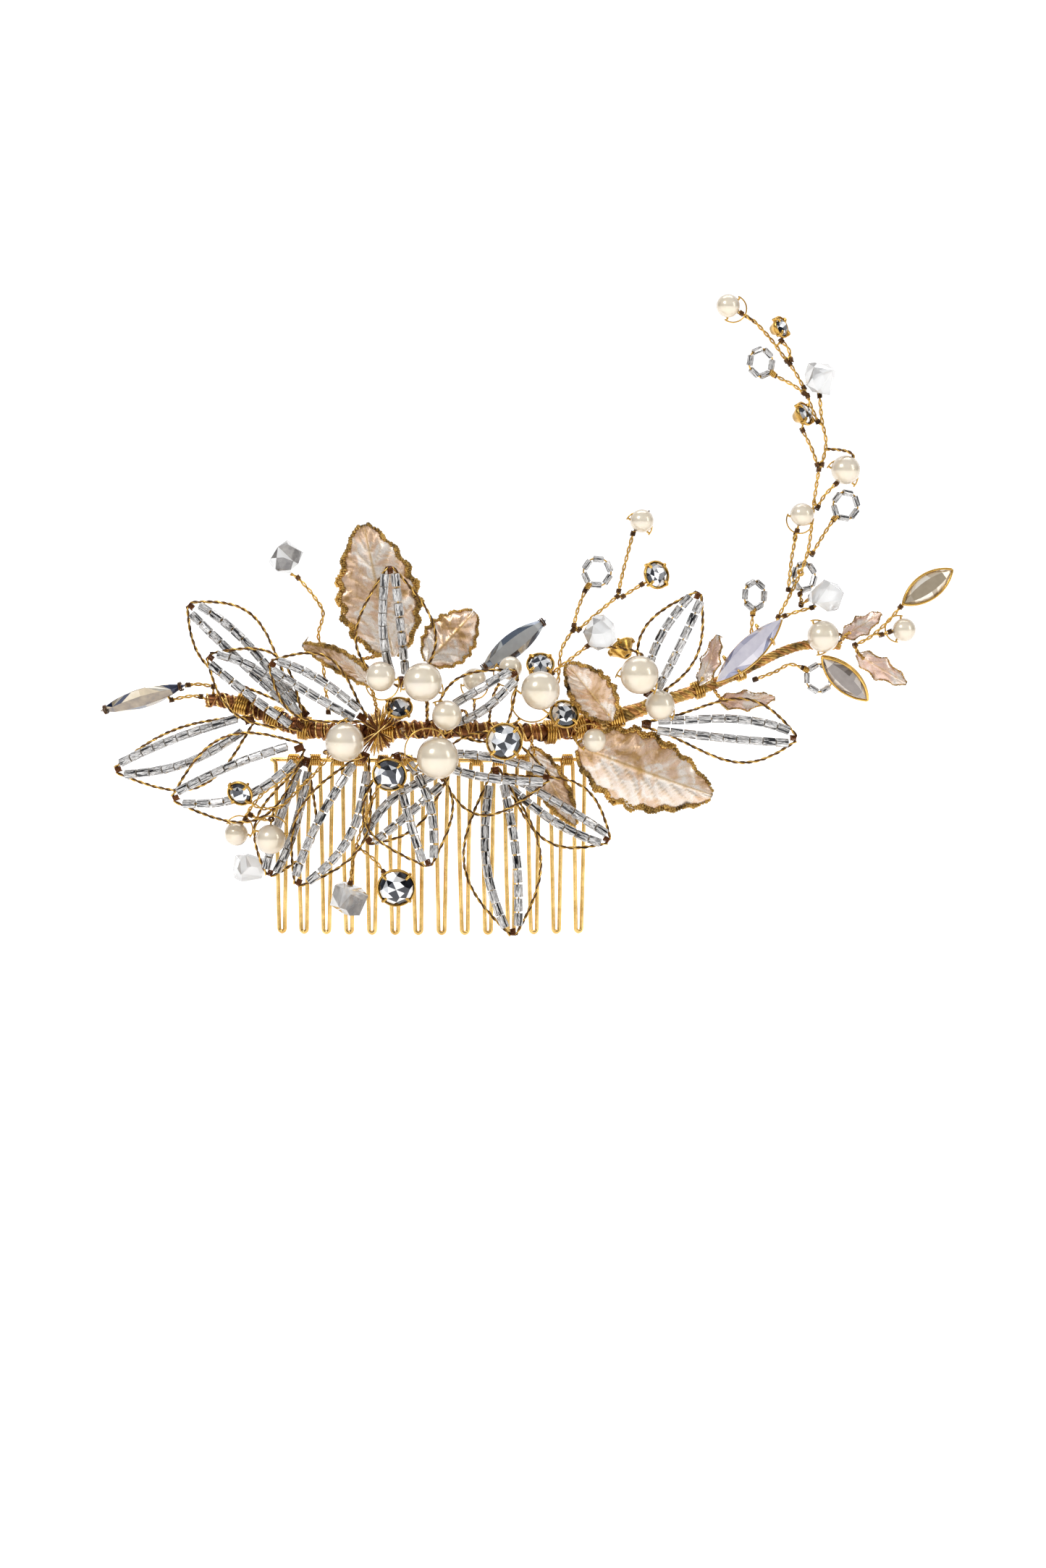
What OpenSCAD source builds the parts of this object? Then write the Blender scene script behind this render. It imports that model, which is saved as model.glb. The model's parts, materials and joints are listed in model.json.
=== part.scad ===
// Decorative hair comb: a wire comb with a wire-wrapped vine that carries beaded
// petals, enamelled leaves, pearls and set stones on twisted wire stems.
// X runs along the comb, Z up along the teeth, -Y is the front. The origin is
// at the middle of the row of teeth, at the root of the teeth.

/* [Comb] */
// Number of teeth
tooth_count = 14; // [10:1:16]
// Distance between the middles of two teeth
tooth_pitch = 3.9; // [3.7:0.05:4.2]
// Length of a tooth from the root line to the tip
tooth_length = 28.4; // [20:0.1:36]
// Thickness of the comb wire
comb_wire_d = 0.7; // [0.5:0.05:0.8]
// Radius of the rounded tip of a tooth, at the middle of the wire
tip_radius = 0.5; // [0.45:0.05:0.6]
// Radius of the arch between two teeth, at the middle of the wire
arch_radius = 0.9; // [0.8:0.05:1]
// Radius of the comb's curve seen from above
comb_curve_radius = 81; // [70:1:150]

/* [Wires] */
// Width across a twisted pair of wires
twist_d = 0.6; // [0.5:0.05:0.7]
// Thickness of a single wire inside the beads
thread_d = 0.3; // [0.25:0.05:0.35]
// Thickness of the pin that a pearl turns on
pin_d = 0.36; // [0.3:0.02:0.4]
// Radial clearance between a pearl and its pin
pin_clearance = 0.05; // [0.03:0.01:0.1]
// Thickness of the vine where it crosses the comb
vine_d = 3.2; // [2.6:0.1:3.6]

/* [Beads] */
// Diameter of a bugle bead in a petal
bugle_d = 1.5; // [1.2:0.1:1.6]
// Length of a bugle bead
bugle_l = 2; // [1.8:0.1:2.1]
// Gap between two bugle beads on their wire
bugle_gap = 0.2; // [0.16:0.02:0.3]
// Diameter of a bugle bead in a ring
ring_bugle_d = 1.1; // [0.9:0.1:1.2]
// Length of a bugle bead in a ring
ring_bugle_l = 1.75; // [1.6:0.05:2]
// Number of bugle beads in a ring
ring_bugles = 6; // [5:1:7]
// Edge of a clear nugget bead
nugget_size = 4.4; // [4:0.1:5.2]

/* [Leaves] */
// Thickness of an enamelled leaf
leaf_t = 0.7; // [0.5:0.1:1]
// Number of serrations along one edge of a large leaf
leaf_teeth = 7; // [5:1:9]
// Number of lobes along one edge of a small leaf
small_leaf_lobes = 3; // [2:1:4]

/* [Hidden] */
PETALS = 16;
LEAVES = 6;
TURNING_PEARLS = 5;

wire_r = comb_wire_d / 2;
touch = 0.02;            // gap left between pieces that rest against each other
ring_sides = 6;          // sides of a thin swept wire
ring_step = 2.6;         // distance between the rings of a swept wire
back = [0, 1, 0];

// ---- places ----------------------------------------------------------------
// A place is [x, in front, z]: how far it stands in front of the curve that the
// comb follows, which runs on more gently past the ends of the comb.
comb_half = tooth_count * tooth_pitch / 2;
curve_end = comb_half * comb_half / (2 * comb_curve_radius);
curve_slope = 0.6 * comb_half / comb_curve_radius;
function curve_y(x) =
    abs(x) < comb_half ? x * x / (2 * comb_curve_radius)
    : curve_end + (abs(x) - comb_half) * curve_slope;
function at(p) = [p[0], curve_y(p[0]) - p[1], p[2]];

// Petals: [base, tip, left width, right width, left strand, right strand, belly].
// Widths are from the middle line to the outline, strands to the bead strands,
// and belly is how far along the petal is widest.
petals = [
    [[-20.5, 4.2, 8.4], [-40.5, 2.4, 27], 6, 5.3, 2.1, 0.9, 0.66],
    [[-21, 6.2, 6.5], [-37, 7, 18.5], 6.9, 5, 3.2, 1, 0.54],
    [[-10.5, 6.4, 8], [-26.5, 9.6, 17.5], 5.7, 5.3, 1.9, 0.9, 0.57],
    [[-29.5, 4.8, 8], [-53, 4, -1], 2.9, 7.5, 1.5, 3, 0.52],
    [[-21, 7, 3.5], [-43, 8, -5.5], 6.4, 8.4, 1.6, 4, 0.5],
    [[-20.5, 3, 1.5], [-27, 3, -18.5], 4.9, 5.2, 1.2, 1.7, 0.6],
    [[-10.5, 6.4, 2.5], [-22, 10, -19.5], 5.4, 6.4, 1.8, 4, 0.54],
    [[-5.5, 7.6, 2.5], [0, 11.4, -16], 8.2, 6.9, 0.9, 3.1, 0.46],
    [[3, 4.2, -1], [-10.5, 5, -12.5], 7.2, 3.4, 2.8, 0.9, 0.55],
    [[1.5, 7.4, 1.5], [20, 10.6, -1.5], 8, 5.9, 1.6, 1.9, 0.44],
    [[11, 5, 0], [14, 8.6, -27.8], 6.9, 5.9, 3.2, 1.9, 0.54],
    [[12, 3, -1.5], [30, 6, -12.5], 5.4, 5.5, 1.9, 1.1, 0.58],
    [[1.5, 5.4, 8], [14.5, 9, 16], 7.6, 4.2, 2.5, 0.9, 0.42],
    [[-4.5, 4.6, 13.5], [-6.5, 9, 33.5], 6.4, 6.9, 0.8, 2.2, 0.4],
    [[36.5, 4.6, 11.5], [45, 8, 29], 4.3, 5.6, 1, 2.6, 0.48],
    [[35.5, 5, 7], [61.5, 8, 4.5], 4.9, 5.8, 1, 2.4, 0.64],
];

// Pearls: [place, diameter, direction of the tails as an angle from +X towards +Z]
large_pearls = [
    [[18.5, 10.5, 13], 6.5, 220],
    [[35, 11.5, 15.5], 6.5, 250],
    [[-1, 12, 14.5], 6.5, 265],
    [[1.5, 13.5, 2], 7, 160],
    [[-14, 11.5, 4.5], 6.5, 20],
];
little_pearls = [
    [[50, 4, 77], 4, 330],
    [[70, 3, 49.5], 5, 235],
    [[62.5, 5, 42], 4, 250],
    [[66, 7.9, 21.6], 5.4, 190],
    [[80, 4, 22.5], 4, 170],
    [[35.5, 5, 41], 4, 235],
    [[38.5, 9, 10.3], 5, 250],
    [[27.5, 8.7, 4.5], 4, 150],
    [[-8, 11, 15.4], 5, 285],
    [[3, 12, 9], 5, 200],
    [[-32.5, 4, -11.5], 4, 60],
    [[-26.5, 8.9, -12], 5, 85],
    [[7.5, 2, 14.5], 4, 270],
    [[13.5, 3.8, 16.5], 4, 235],
];

// Tails that tie the large pearls back to the vine, from the bail to the vine
pearl_tails = [
    [[15.6, 10.3, 10.6], [15.8, 7.4, 8.6], [16, 4.5, 6.4]],
    [[33.7, 11.3, 11.7], [33.2, 8, 10], [32.8, 4.8, 9]],
    [[-1.3, 11.8, 10.5], [-1.2, 8, 8.6], [-1.2, 4.5, 6.8]],
    [[-2.5, 13.2, 3.5], [-3, 9, 4.8], [-3, 4.5, 6]],
    [[-10.1, 11.2, 6], [-12, 8, 6.3], [-13.6, 4.5, 6]],
];

// Round stones: [place, diameter, direction that the stone faces]
stones = [
    [[-5, 9, 10.2], 4.2, [0, -7, 7]],
    [[-6.5, 13.4, -0.8], 5.4, [-1, -9, -3]],
    [[12.5, 13, 4.7], 5.7, [0, -1, 0]],
    [[-5.5, 7, -20], 6, [0, -9, -2]],
    [[22.5, 9, 9], 4.6, [2, -8, 4]],
    [[18.5, 5, 17.2], 4.3, [0, -7, 6]],
    [[-31.5, 13.2, -4.2], 4, [-3, -8, -4]],
    [[38, 5, 32], 4.4, [5, -8, 2]],
    [[59, 4, 73.5], 3.4, [8, -5, 3]],
    [[63, 4, 59], 3.8, [8, -5, 4]],
    [[32, 6, 20], 4, [-5, 5, 7]],
];

// Navettes: [one end, other end, width, lean of the face, kind]
// kind 0 is tied in wire, 1 has claws, 2 has a closed setting
navettes = [
    [[-55.5, 5, 9], [-41, 5, 13.5], 4, 35, 0],
    [[19.5, 0.2, 24.5], [8.5, 0.2, 16], 4, 0, 0],
    [[48, 7, 14], [59, 7, 24.5], 4.2, -20, 1],
    [[66, 8, 18], [73.5, 7, 11], 4, 20, 2],
    [[80, 4, 27], [88, 4, 32.5], 4, 0, 2],
];

// Nuggets: [place, turn about X, Y and Z]
nuggets = [
    [[-24, 4, 35], [20, 25, 10]],
    [[65.5, 4, 65], [15, 10, 20]],
    [[66.5, 7, 28.5], [10, 20, 30]],
    [[28.6, 7.6, 22.4], [30, 35, 15]],
    [[-13.5, 6, -22], [15, 12, 35]],
    [[-30.6, -0.5, -17.4], [12, 10, 20]],
];

// Rings of bugles: [place, direction of the stem from the ring, turn about the stem]
bead_ring_list = [
    [[28, 5, 32.5], 235, 10],
    [[54.5, 5, 28.5], 265, 40],
    [[70, 3, 43.5], 230, 25],
    [[63, 2, 31.5], 250, 35],
    [[55.5, 5, 67.5], 320, 30],
    [[65.5, 4.6, 14.5], 150, 15],
];

// Leaves: [base, tip, width, lean of the face]
large_leaves = [
    [[-6, 2.6, 18.5], [-11, 1, 40.5], 14.5, -8],
    [[-0.5, 2.6, 17.5], [7.5, 2, 26], 9, 10],
    [[-9.5, 4.4, 13.5], [-21.5, 5, 20], 6, 50],
    [[30.5, 6.4, 7.5], [23, 6.2, 17], 8, 15],
    [[25, 6.5, 3.4], [47.5, 7, -5], 14, 10],
    [[17, 2.6, 3], [24.5, 3, -10], 5.5, 10],
];
little_leaves = [
    [[45, 5.4, 13.5], [48, 5, 22], 4.5, 40],
    [[48.5, 6, 11], [58, 6.5, 11.5], 4, 25],
    [[69.5, 3, 21.5], [76, 4, 25.5], 4, 20],
    [[72, 4, 18.5], [80.5, 5, 13.5], 4.4, 10],
];

vine_route = [
    [-37.5, 3, 11], [-31.5, 2.6, 10.3], [-26, 2.4, 8], [-21, 2.3, 6.4],
    [-14, 2.3, 5.7], [-7, 2.3, 6], [1, 2.3, 6.3], [10, 2.3, 6], [20, 2.3, 5.7],
    [25, 2.3, 6.5], [31, 2.5, 8], [38, 3, 10.3], [45, 3.4, 12.6], [52, 3.6, 15.4],
    [58, 3.8, 18.4], [63, 4, 20], [69, 4, 20],
];
vine_wrap_places = [1, 2, 3, 5, 8, 9, 10, 11, 12, 13];

tall_stem_routes = [
    [[58.5, 5, 24.8], [61.5, 4.6, 30.5], [63.6, 4.2, 36], [64.5, 4, 43.5], [65.4, 4, 49.6]],
    [[60.2, 5.2, 29.4], [60.8, 5.4, 35], [61.7, 5, 39.3]],
    [[65.2, 4, 43.2], [66.4, 3.6, 45.2], [68.4, 3, 47.2]],
    [[64.3, 4, 35.4], [66, 3.6, 38.2], [68, 3, 41.2]],
    [[65.1, 4, 50.4], [64.2, 4, 53], [62.6, 4.2, 56.2]],
    [[65.9, 4, 50.4], [66.6, 4, 54], [65.9, 4, 57.8], [65.5, 4, 62]],
    [[65.2, 4, 57.6], [64.2, 4.4, 59.8], [63.4, 4.6, 62]],
    [[62.8, 4.6, 62.4], [61.2, 4.8, 63.6], [57.8, 5, 65.4]],
    [[62.8, 4.1, 63.3], [61.6, 4.1, 65.5], [60.4, 4, 67.4]],
    [[60.6, 4, 68], [60.2, 4, 69.8], [59, 4, 71.2]],
    [[59.9, 4, 67.8], [57.4, 4, 71.2], [54.4, 4, 74.4], [52.2, 4, 75.8]],
    [[59.6, 5, 25], [62, 5.6, 25.8], [64.2, 6.2, 26.4]],
    [[62.4, 4.6, 26.9], [62.5, 3.6, 27.6], [62.3, 2.6, 28.6]],
    [[54.2, 5, 25.4], [54, 4.8, 22.8], [54, 4.4, 18.2]],
];
centre_stem_routes = [
    [[20, 4.6, 8.4], [21.4, 4.6, 14], [22, 5, 19.5], [24, 5, 22.8]],
    [[24.1, 5, 23.6], [24.8, 5, 26.4], [26, 5, 29.4]],
    [[24.9, 5, 22.9], [28, 5, 25.6], [31.4, 5, 28.4]],
    [[31.6, 5, 29.3], [32.6, 5, 33.6], [34, 5, 38.9]],
    [[32.3, 5, 28.4], [34.2, 5, 29.6], [35.5, 5, 30.4]],
    [[20.4, 5.4, 15.6], [23.5, 6, 18], [26.4, 6.6, 20.2]],
    [[71.6, 4, 20], [74.2, 4, 21.3], [77, 4, 23.7], [79.4, 4, 26.4]],
    [[54.6, 6, 14.4], [58, 5.4, 15.6], [60.4, 5, 16.8], [62.8, 4.8, 16.2]],
    [[76.1, 4, 21.7], [76.9, 4, 21.9], [77.6, 4, 22.2]],
];
lower_stem_routes = [
    [[-22, 4, 31.6], [-19.4, 4, 28.6], [-17.8, 4, 25.8], [-18.6, 2.6, 22.4], [-18, 1.4, 18], [-17, 1.4, 9]],
    [[-31, 4, -9], [-30.3, 4.4, -7.4], [-28, 5, -4.6], [-24, 5.8, -1.6], [-21.6, 5.8, 0.4]],
    [[-30, 5.1, -8.2], [-28.2, 6.1, -8.8], [-26.4, 8.3, -8.7]],
    [[-30.4, 11.2, -5.4], [-28, 9.8, -6.8], [-25, 7.8, -6.6], [-21.8, 6.9, -3.6], [-18, 5, 0.2], [-16, 4.4, 3]],
    [[-13.2, 6, -19.4], [-12.6, 4.4, -14.6], [-10.8, 3.6, -8.6], [-8.8, 3.2, -3.6], [-8, 2.6, 1.4]],
    [[-7.6, 6.4, -17.4], [-9.4, 6, -15.2], [-11.8, 5.8, -13.4]],
    [[-40.6, 4.8, 13.5], [-38.6, 4, 13.6], [-36.4, 3, 13.2]],
    [[-43.4, 5, 11], [-40.4, 4.6, 11.6], [-38.5, 3, 11.5]],
];

// ---- vectors ---------------------------------------------------------------
function unit(v) = v / norm(v);
function mix(a, b, t) = a + (b - a) * t;
function yaw(v) = atan2(v[1], v[0]);
function tilt(v) = atan2(norm([v[0], v[1]]), v[2]);

// Puts what is drawn along +Z at a point, pointing along a direction
module stand(point, direction) {
    translate(point) rotate([0, tilt(direction), yaw(direction)]) children();
}

// A smooth curve through the points of a route, with a point every ring_step
function between(p0, p1, p2, p3, t) =
    0.5 * (2 * p1 + (p2 - p0) * t + (2 * p0 - 5 * p1 + 4 * p2 - p3) * t * t
    + (3 * p1 - p0 - 3 * p2 + p3) * t * t * t);
function smooth(route, step) = let (last = len(route) - 1)
    concat([for (i = [0:last - 1])
        let (n = max(1, round(norm(route[i + 1] - route[i]) / step)))
        for (j = [0:n - 1])
            between(route[max(i - 1, 0)], route[i], route[i + 1], route[min(i + 2, last)], j / n)],
        [route[last]]);

// ---- swept wires -----------------------------------------------------------
function heading(path, i) = unit(path[min(i + 1, len(path) - 1)] - path[max(i - 1, 0)]);
function ring(centre, direction, r, sides) =
    let (a = unit(cross(direction, back)), b = cross(direction, a))
    [for (k = [0:sides - 1])
        centre + r * (a * cos((k + 0.5) * 360 / sides) + b * sin((k + 0.5) * 360 / sides))];

// A closed tube along a path, with a short point at each end
module swept(path, radii, sides) {
    last = len(path) - 1;
    start = path[0] - heading(path, 0) * radii[0] / 2;
    finish = path[last] + heading(path, last) * radii[last] / 2;
    points = concat([start],
        [for (i = [0:last]) each ring(path[i], heading(path, i), radii[i], sides)], [finish]);
    top = len(points) - 1;
    function id(i, k) = 1 + i * sides + (k % sides);
    faces = concat(
        [for (k = [0:sides - 1]) [0, id(0, k), id(0, k + 1)]],
        [for (i = [0:last - 1], k = [0:sides - 1]) [id(i, k), id(i + 1, k), id(i, k + 1)]],
        [for (i = [0:last - 1], k = [0:sides - 1]) [id(i, k + 1), id(i + 1, k), id(i + 1, k + 1)]],
        [for (k = [0:sides - 1]) [top, id(last, k + 1), id(last, k)]]);
    polyhedron(points, faces);
}

module wire(path, d) {
    swept(path, [for (p = path) d / 2], ring_sides);
}

module stems(routes) {
    for (route = routes) wire(smooth([for (p = route) at(p)], ring_step), twist_d);
}

// ---- comb ------------------------------------------------------------------
root_drop = tooth_length - tip_radius - wire_r;   // from the arch centres to the tip centres
leg_reach = tip_radius + arch_radius;
leg_lean = atan2(tooth_pitch / 2, root_drop)
    - asin(leg_reach / norm([root_drop, tooth_pitch / 2]));

function arc(centre_x, centre_z, r, angles) =
    [for (angle = angles) [centre_x + r * cos(angle), 0, centre_z + r * sin(angle)]];
tooth_sides = 8;
arch_angles = [78, 50, 22, leg_lean];
tip_angles = [for (k = [0:4]) mix(180 + leg_lean, 360 - leg_lean, k / 4)];
tooth_path = concat(
    arc(-tooth_pitch / 2, 0, arch_radius, arch_angles),
    arc(0, -root_drop, tip_radius, tip_angles),
    arc(tooth_pitch / 2, 0, arch_radius, [for (k = [3:-1:0]) 180 - arch_angles[k]]));

// One hairpin tooth: two leaning legs, a round tip, and half an arch on each side
module tooth() {
    swept(tooth_path, [for (p = tooth_path) wire_r], tooth_sides);
}

module around_comb(position) {
    turn = position * tooth_pitch / comb_curve_radius * 180 / PI;
    translate([0, comb_curve_radius, 0]) rotate([0, 0, turn])
        translate([0, -comb_curve_radius, 0]) children();
}

module comb_teeth() {
    color("gold") for (i = [0:tooth_count - 1]) around_comb(i - (tooth_count - 1) / 2) tooth();
}

spine_r = 0.35;
spine_set_back = wire_r + spine_r + touch;
spine_z = arch_radius;
module comb_spine() {
    sweep = tooth_count * tooth_pitch / comb_curve_radius * 180 / PI;
    color("gold") translate([0, comb_curve_radius, spine_z]) rotate([0, 0, 270 - sweep / 2])
        rotate_extrude(angle = sweep)
            translate([comb_curve_radius - spine_set_back, 0]) circle(spine_r, $fn = 24);
}

lashing_r = 0.15;
module comb_lashing() {
    loop_r = wire_r + spine_r + lashing_r + 2 * touch;
    color("goldenrod") for (i = [1:tooth_count - 1]) around_comb(i - tooth_count / 2)
        translate([0, spine_set_back / 2, spine_z]) rotate([0, 90, 0])
            rotate_extrude() translate([loop_r, 0]) circle(lashing_r, $fn = 16);
}

// ---- vine ------------------------------------------------------------------
vine_path = smooth([for (p = vine_route) at(p)], 3);
function vine_r(p) = vine_d / 2 * (p[0] > comb_half ? max(0.55, 1 - (p[0] - comb_half) / 60)
    : p[0] < -comb_half ? max(0.7, 1 + (p[0] + comb_half) / 40) : 1);

module vine_core() {
    color("peru") swept(vine_path, [for (p = vine_path) vine_r(p)], 8);
}

wrap_r = 0.2;
star_tilts = [-50, -25, 0, 25, 50];
star_step = 0.45;
module wrap_ring(loop_r) {
    rotate_extrude() translate([loop_r, 0]) circle(wrap_r, $fn = 12);
}
module vine_wraps() {
    star_at = at([-8.5, 2.3, 6]);
    color("chocolate") {
        for (i = vine_wrap_places) {
            here = at(vine_route[i]);
            stand(here, at(vine_route[i + 1]) - at(vine_route[i - 1]))
                wrap_ring(vine_r(here) + wrap_r + 0.1);
        }
        for (k = [0:len(star_tilts) - 1])
            translate(star_at) rotate([0, 90 + star_tilts[k], 0])
                wrap_ring(vine_d / 2 + 1.4 + k * star_step);
    }
}

// ---- petals ----------------------------------------------------------------
petal_rings = 9;
petal_lift = 1.2;         // how far the middle of a petal bulges forward
tip_gap = 0.45;           // half the distance between the two wires at base and tip
strand_start = 0.1;
strand_end = 0.95;
strand_lift = 1.08;       // how far the beads stand in front of the outline

// A point of a petal: t along it, side from -1 to 1 times the width there
function petal_point(p, t, offset) =
    let (base = at(p[0]), tip = at(p[1]), along = unit(tip - base),
         left = unit(cross(along, back)), front = cross(left, along))
    mix(base, tip, t) - left * offset - back * petal_lift * sin(180 * t)
    + front * abs(offset) * 0.1;
function swell(t, belly) = sin(180 * pow(t, ln(0.5) / ln(belly)));
function outline(p, side) =
    let (width = side > 0 ? p[2] : p[3])
    [for (i = [0:petal_rings]) let (t = i / petal_rings)
        petal_point(p, t, side * (tip_gap + (width - tip_gap) * swell(t, p[6])))];
function strand_offset(p, side, t) =
    let (width = side > 0 ? p[4] : p[5], least = bugle_d / 2 + touch)
    side * (least + max(0, width - least) * swell(t, p[6]));
function strand_path(p, side, count) =
    [for (i = [0:count]) let (t = mix(strand_start, strand_end, i / count))
        petal_point(p, t, strand_offset(p, side, t)) - back * strand_lift];
function strand_length(path) =
    len(path) < 2 ? 0 : norm(path[1] - path[0]) + strand_length([for (i = [1:len(path) - 1]) path[i]]);
function bugle_count(p, side) = floor(strand_length(strand_path(p, side, 8)) / (bugle_l + bugle_gap));

module petal_frame(p) {
    color("goldenrod") for (side = [-1, 1]) {
        wire(outline(p, side), twist_d);
        wire(strand_path(p, side, bugle_count(p, side)), thread_d);
    }
}

module bugle(a, b, d, length) {
    stand(mix(a, b, (1 - length / norm(b - a)) / 2), b - a) difference() {
        cylinder(length, d / 2, d / 2, $fn = 24);
        translate([0, 0, -1]) cylinder(length + 2, d * 0.28, d * 0.28, $fn = 24);
    }
}

module petal_beads(p) {
    color("lightcyan") for (side = [-1, 1]) {
        path = strand_path(p, side, bugle_count(p, side));
        for (i = [0:len(path) - 2]) bugle(path[i], path[i + 1], bugle_d, bugle_l);
    }
}

// ---- pearls ----------------------------------------------------------------
bail_gap = 0.25;          // from the pearl to the middle of the bail wire
function tail_direction(angle) = [cos(angle), 0, sin(angle)];
function pin_direction(angle) = [-sin(angle), 0, cos(angle)];

module pearl(p) {
    color("ivory") stand(at(p[0]), pin_direction(p[2])) difference() {
        sphere(p[1] / 2, $fn = 48);
        translate([0, 0, -p[1]]) cylinder(2 * p[1], pin_d / 2 + pin_clearance, pin_d / 2 + pin_clearance, $fn = 24);
    }
}

module small_pearls() {
    for (p = little_pearls) pearl(p);
}

// A pin through the pearl, with its two ends bent round the side of the tails
module bail(p) {
    bail_r = p[1] / 2 + bail_gap;
    translate(at(p[0])) rotate([0, 180 - p[2], 0]) rotate([90, 0, 0]) {
        rotate([0, 0, 82]) rotate_extrude(angle = 196) translate([bail_r, 0]) circle(pin_d / 2, $fn = 16);
        rotate([90, 0, 0]) cylinder(2 * bail_r, pin_d / 2, pin_d / 2, center = true, $fn = 16);
    }
}

module pearl_bails() {
    color("goldenrod") {
        for (p = concat(large_pearls, little_pearls)) bail(p);
        stems(pearl_tails);
    }
}

// ---- leaves ----------------------------------------------------------------
// A cupped blade between base and tip, with a wavy edge
module blade(leaf, waves, wave_depth, rows) {
    base = at(leaf[0]);
    tip = at(leaf[1]);
    along = unit(tip - base);
    flat = unit(cross(along, back));
    face = cross(flat, along);
    across = flat * cos(leaf[3]) + face * sin(leaf[3]);
    normal = cross(across, along);
    half = leaf[2] / 2;
    function edge(t) = half * (0.12 + 0.88 * pow(sin(180 * pow(t, 0.85)), 0.8))
        * (1 - wave_depth * abs(cos(180 * waves * t)));
    function spot(t, s, height) = mix(base, tip, t) + across * s * edge(t)
        + normal * (height + half * 0.16 * s * s + norm(tip - base) * 0.05 * sin(180 * t));
    steps = [-1, -0.5, 0, 0.5, 1];
    columns = len(steps);
    points = [for (height = [0, leaf_t], i = [0:rows], s = steps) spot(i / rows, s, height)];
    layer = (rows + 1) * columns;
    function id(h, i, j) = h * layer + i * columns + j;
    function quad(a, b, c, d) = [[a, b, c], [a, c, d]];
    last = columns - 1;
    faces = [for (group = concat(
        [for (i = [0:rows - 1], j = [0:last - 1])
            quad(id(0, i, j), id(0, i, j + 1), id(0, i + 1, j + 1), id(0, i + 1, j))],
        [for (i = [0:rows - 1], j = [0:last - 1])
            quad(id(1, i, j), id(1, i + 1, j), id(1, i + 1, j + 1), id(1, i, j + 1))],
        [for (i = [0:rows - 1]) quad(id(0, i, 0), id(0, i + 1, 0), id(1, i + 1, 0), id(1, i, 0))],
        [for (i = [0:rows - 1]) quad(id(0, i + 1, last), id(0, i, last), id(1, i, last), id(1, i + 1, last))],
        [for (j = [0:last - 1]) quad(id(0, 0, j + 1), id(0, 0, j), id(1, 0, j), id(1, 0, j + 1))],
        [for (j = [0:last - 1]) quad(id(0, rows, j), id(0, rows, j + 1), id(1, rows, j + 1), id(1, rows, j))]
    )) each group];
    polyhedron(points, faces);
}

module gold_leaf(leaf) {
    color("rosybrown") blade(leaf, leaf_teeth, 0.12, 2 * leaf_teeth);
}

module small_leaves() {
    color("pink") for (leaf = little_leaves) blade(leaf, small_leaf_lobes, 0.3, 4 * small_leaf_lobes);
}

// ---- set stones ------------------------------------------------------------
cup_wall = 0.25;
claw_r = 0.3;
module stone_cups() {
    color("gold") for (s = stones) {
        r = s[1] / 2 + touch;
        stand(at(s[0]), s[2]) {
            rotate_extrude($fn = 48) polygon([
                [0.5, -r * 0.95 - cup_wall], [0.8, -r * 0.95 - cup_wall], [r + cup_wall, -0.2],
                [r + cup_wall, 0.2], [r, 0.2], [r, -0.2], [0.5, -r * 0.95]]);
            for (k = [0:3]) rotate([0, 0, 45 + 90 * k]) translate([r + cup_wall, 0, -0.3])
                cylinder(0.9, claw_r, claw_r, $fn = 16);
        }
    }
}

module round_stones() {
    color("lightsteelblue") for (s = stones) {
        r = s[1] / 2 - claw_r / 2;
        stand(at(s[0]), s[2]) rotate_extrude($fn = 48) polygon([
            [0, -r * 0.75], [r * 0.98, -0.1], [r, 0], [r * 0.98, 0.1], [r * 0.55, r * 0.4], [0, r * 0.4]]);
    }
}

navette_t = 1.4;
module navette_outline(length, width) {
    bow = (length * length / width + width) / 4;
    intersection_for (side = [-1, 1]) translate([side * (bow - width / 2), 0]) circle(bow, $fn = 90);
}
// Lays a flat shape, drawn along +Y, from one place to another with its face to
// the front, leaning about its own length
module lay(n) {
    a = at(n[0]);
    b = at(n[1]);
    along = unit(b - a);
    front = unit(-back + (back * along) * along);
    side = cross(along, front);
    face = front * cos(n[3]) + side * sin(n[3]);
    across = cross(along, face);
    middle = mix(a, b, 0.5);
    multmatrix([for (i = [0:2]) [across[i], along[i], face[i], middle[i]]]) children();
}
module navette_stones() {
    color("slategray") for (n = navettes) lay(n)
        linear_extrude(navette_t, center = true) navette_outline(norm(at(n[1]) - at(n[0])), n[2]);
}
module navette_settings() {
    color("gold") for (n = navettes) {
        length = norm(at(n[1]) - at(n[0]));
        if (n[4] == 2) lay(n) linear_extrude(navette_t * 0.7, center = true) difference() {
            navette_outline(length + 0.9, n[2] + 0.6);
            navette_outline(length + 2 * touch, n[2] + 2 * touch);
        }
        if (n[4] == 1) lay(n) for (along = [-0.25, 0.25], side = [-1, 1])
            translate([side * (n[2] / 2 - 0.05), along * length, -navette_t / 2 - 0.1])
                cylinder(navette_t + 0.5, claw_r, claw_r, $fn = 16);
    }
}

// ---- glass beads -----------------------------------------------------------
module nugget_beads() {
    color("azure") for (n = nuggets) translate(at(n[0])) rotate(n[1]) difference() {
        cube(nugget_size, center = true);
        cylinder(nugget_size * 2, twist_d / 2 + touch, twist_d / 2 + touch, center = true, $fn = 24);
    }
}

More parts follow.
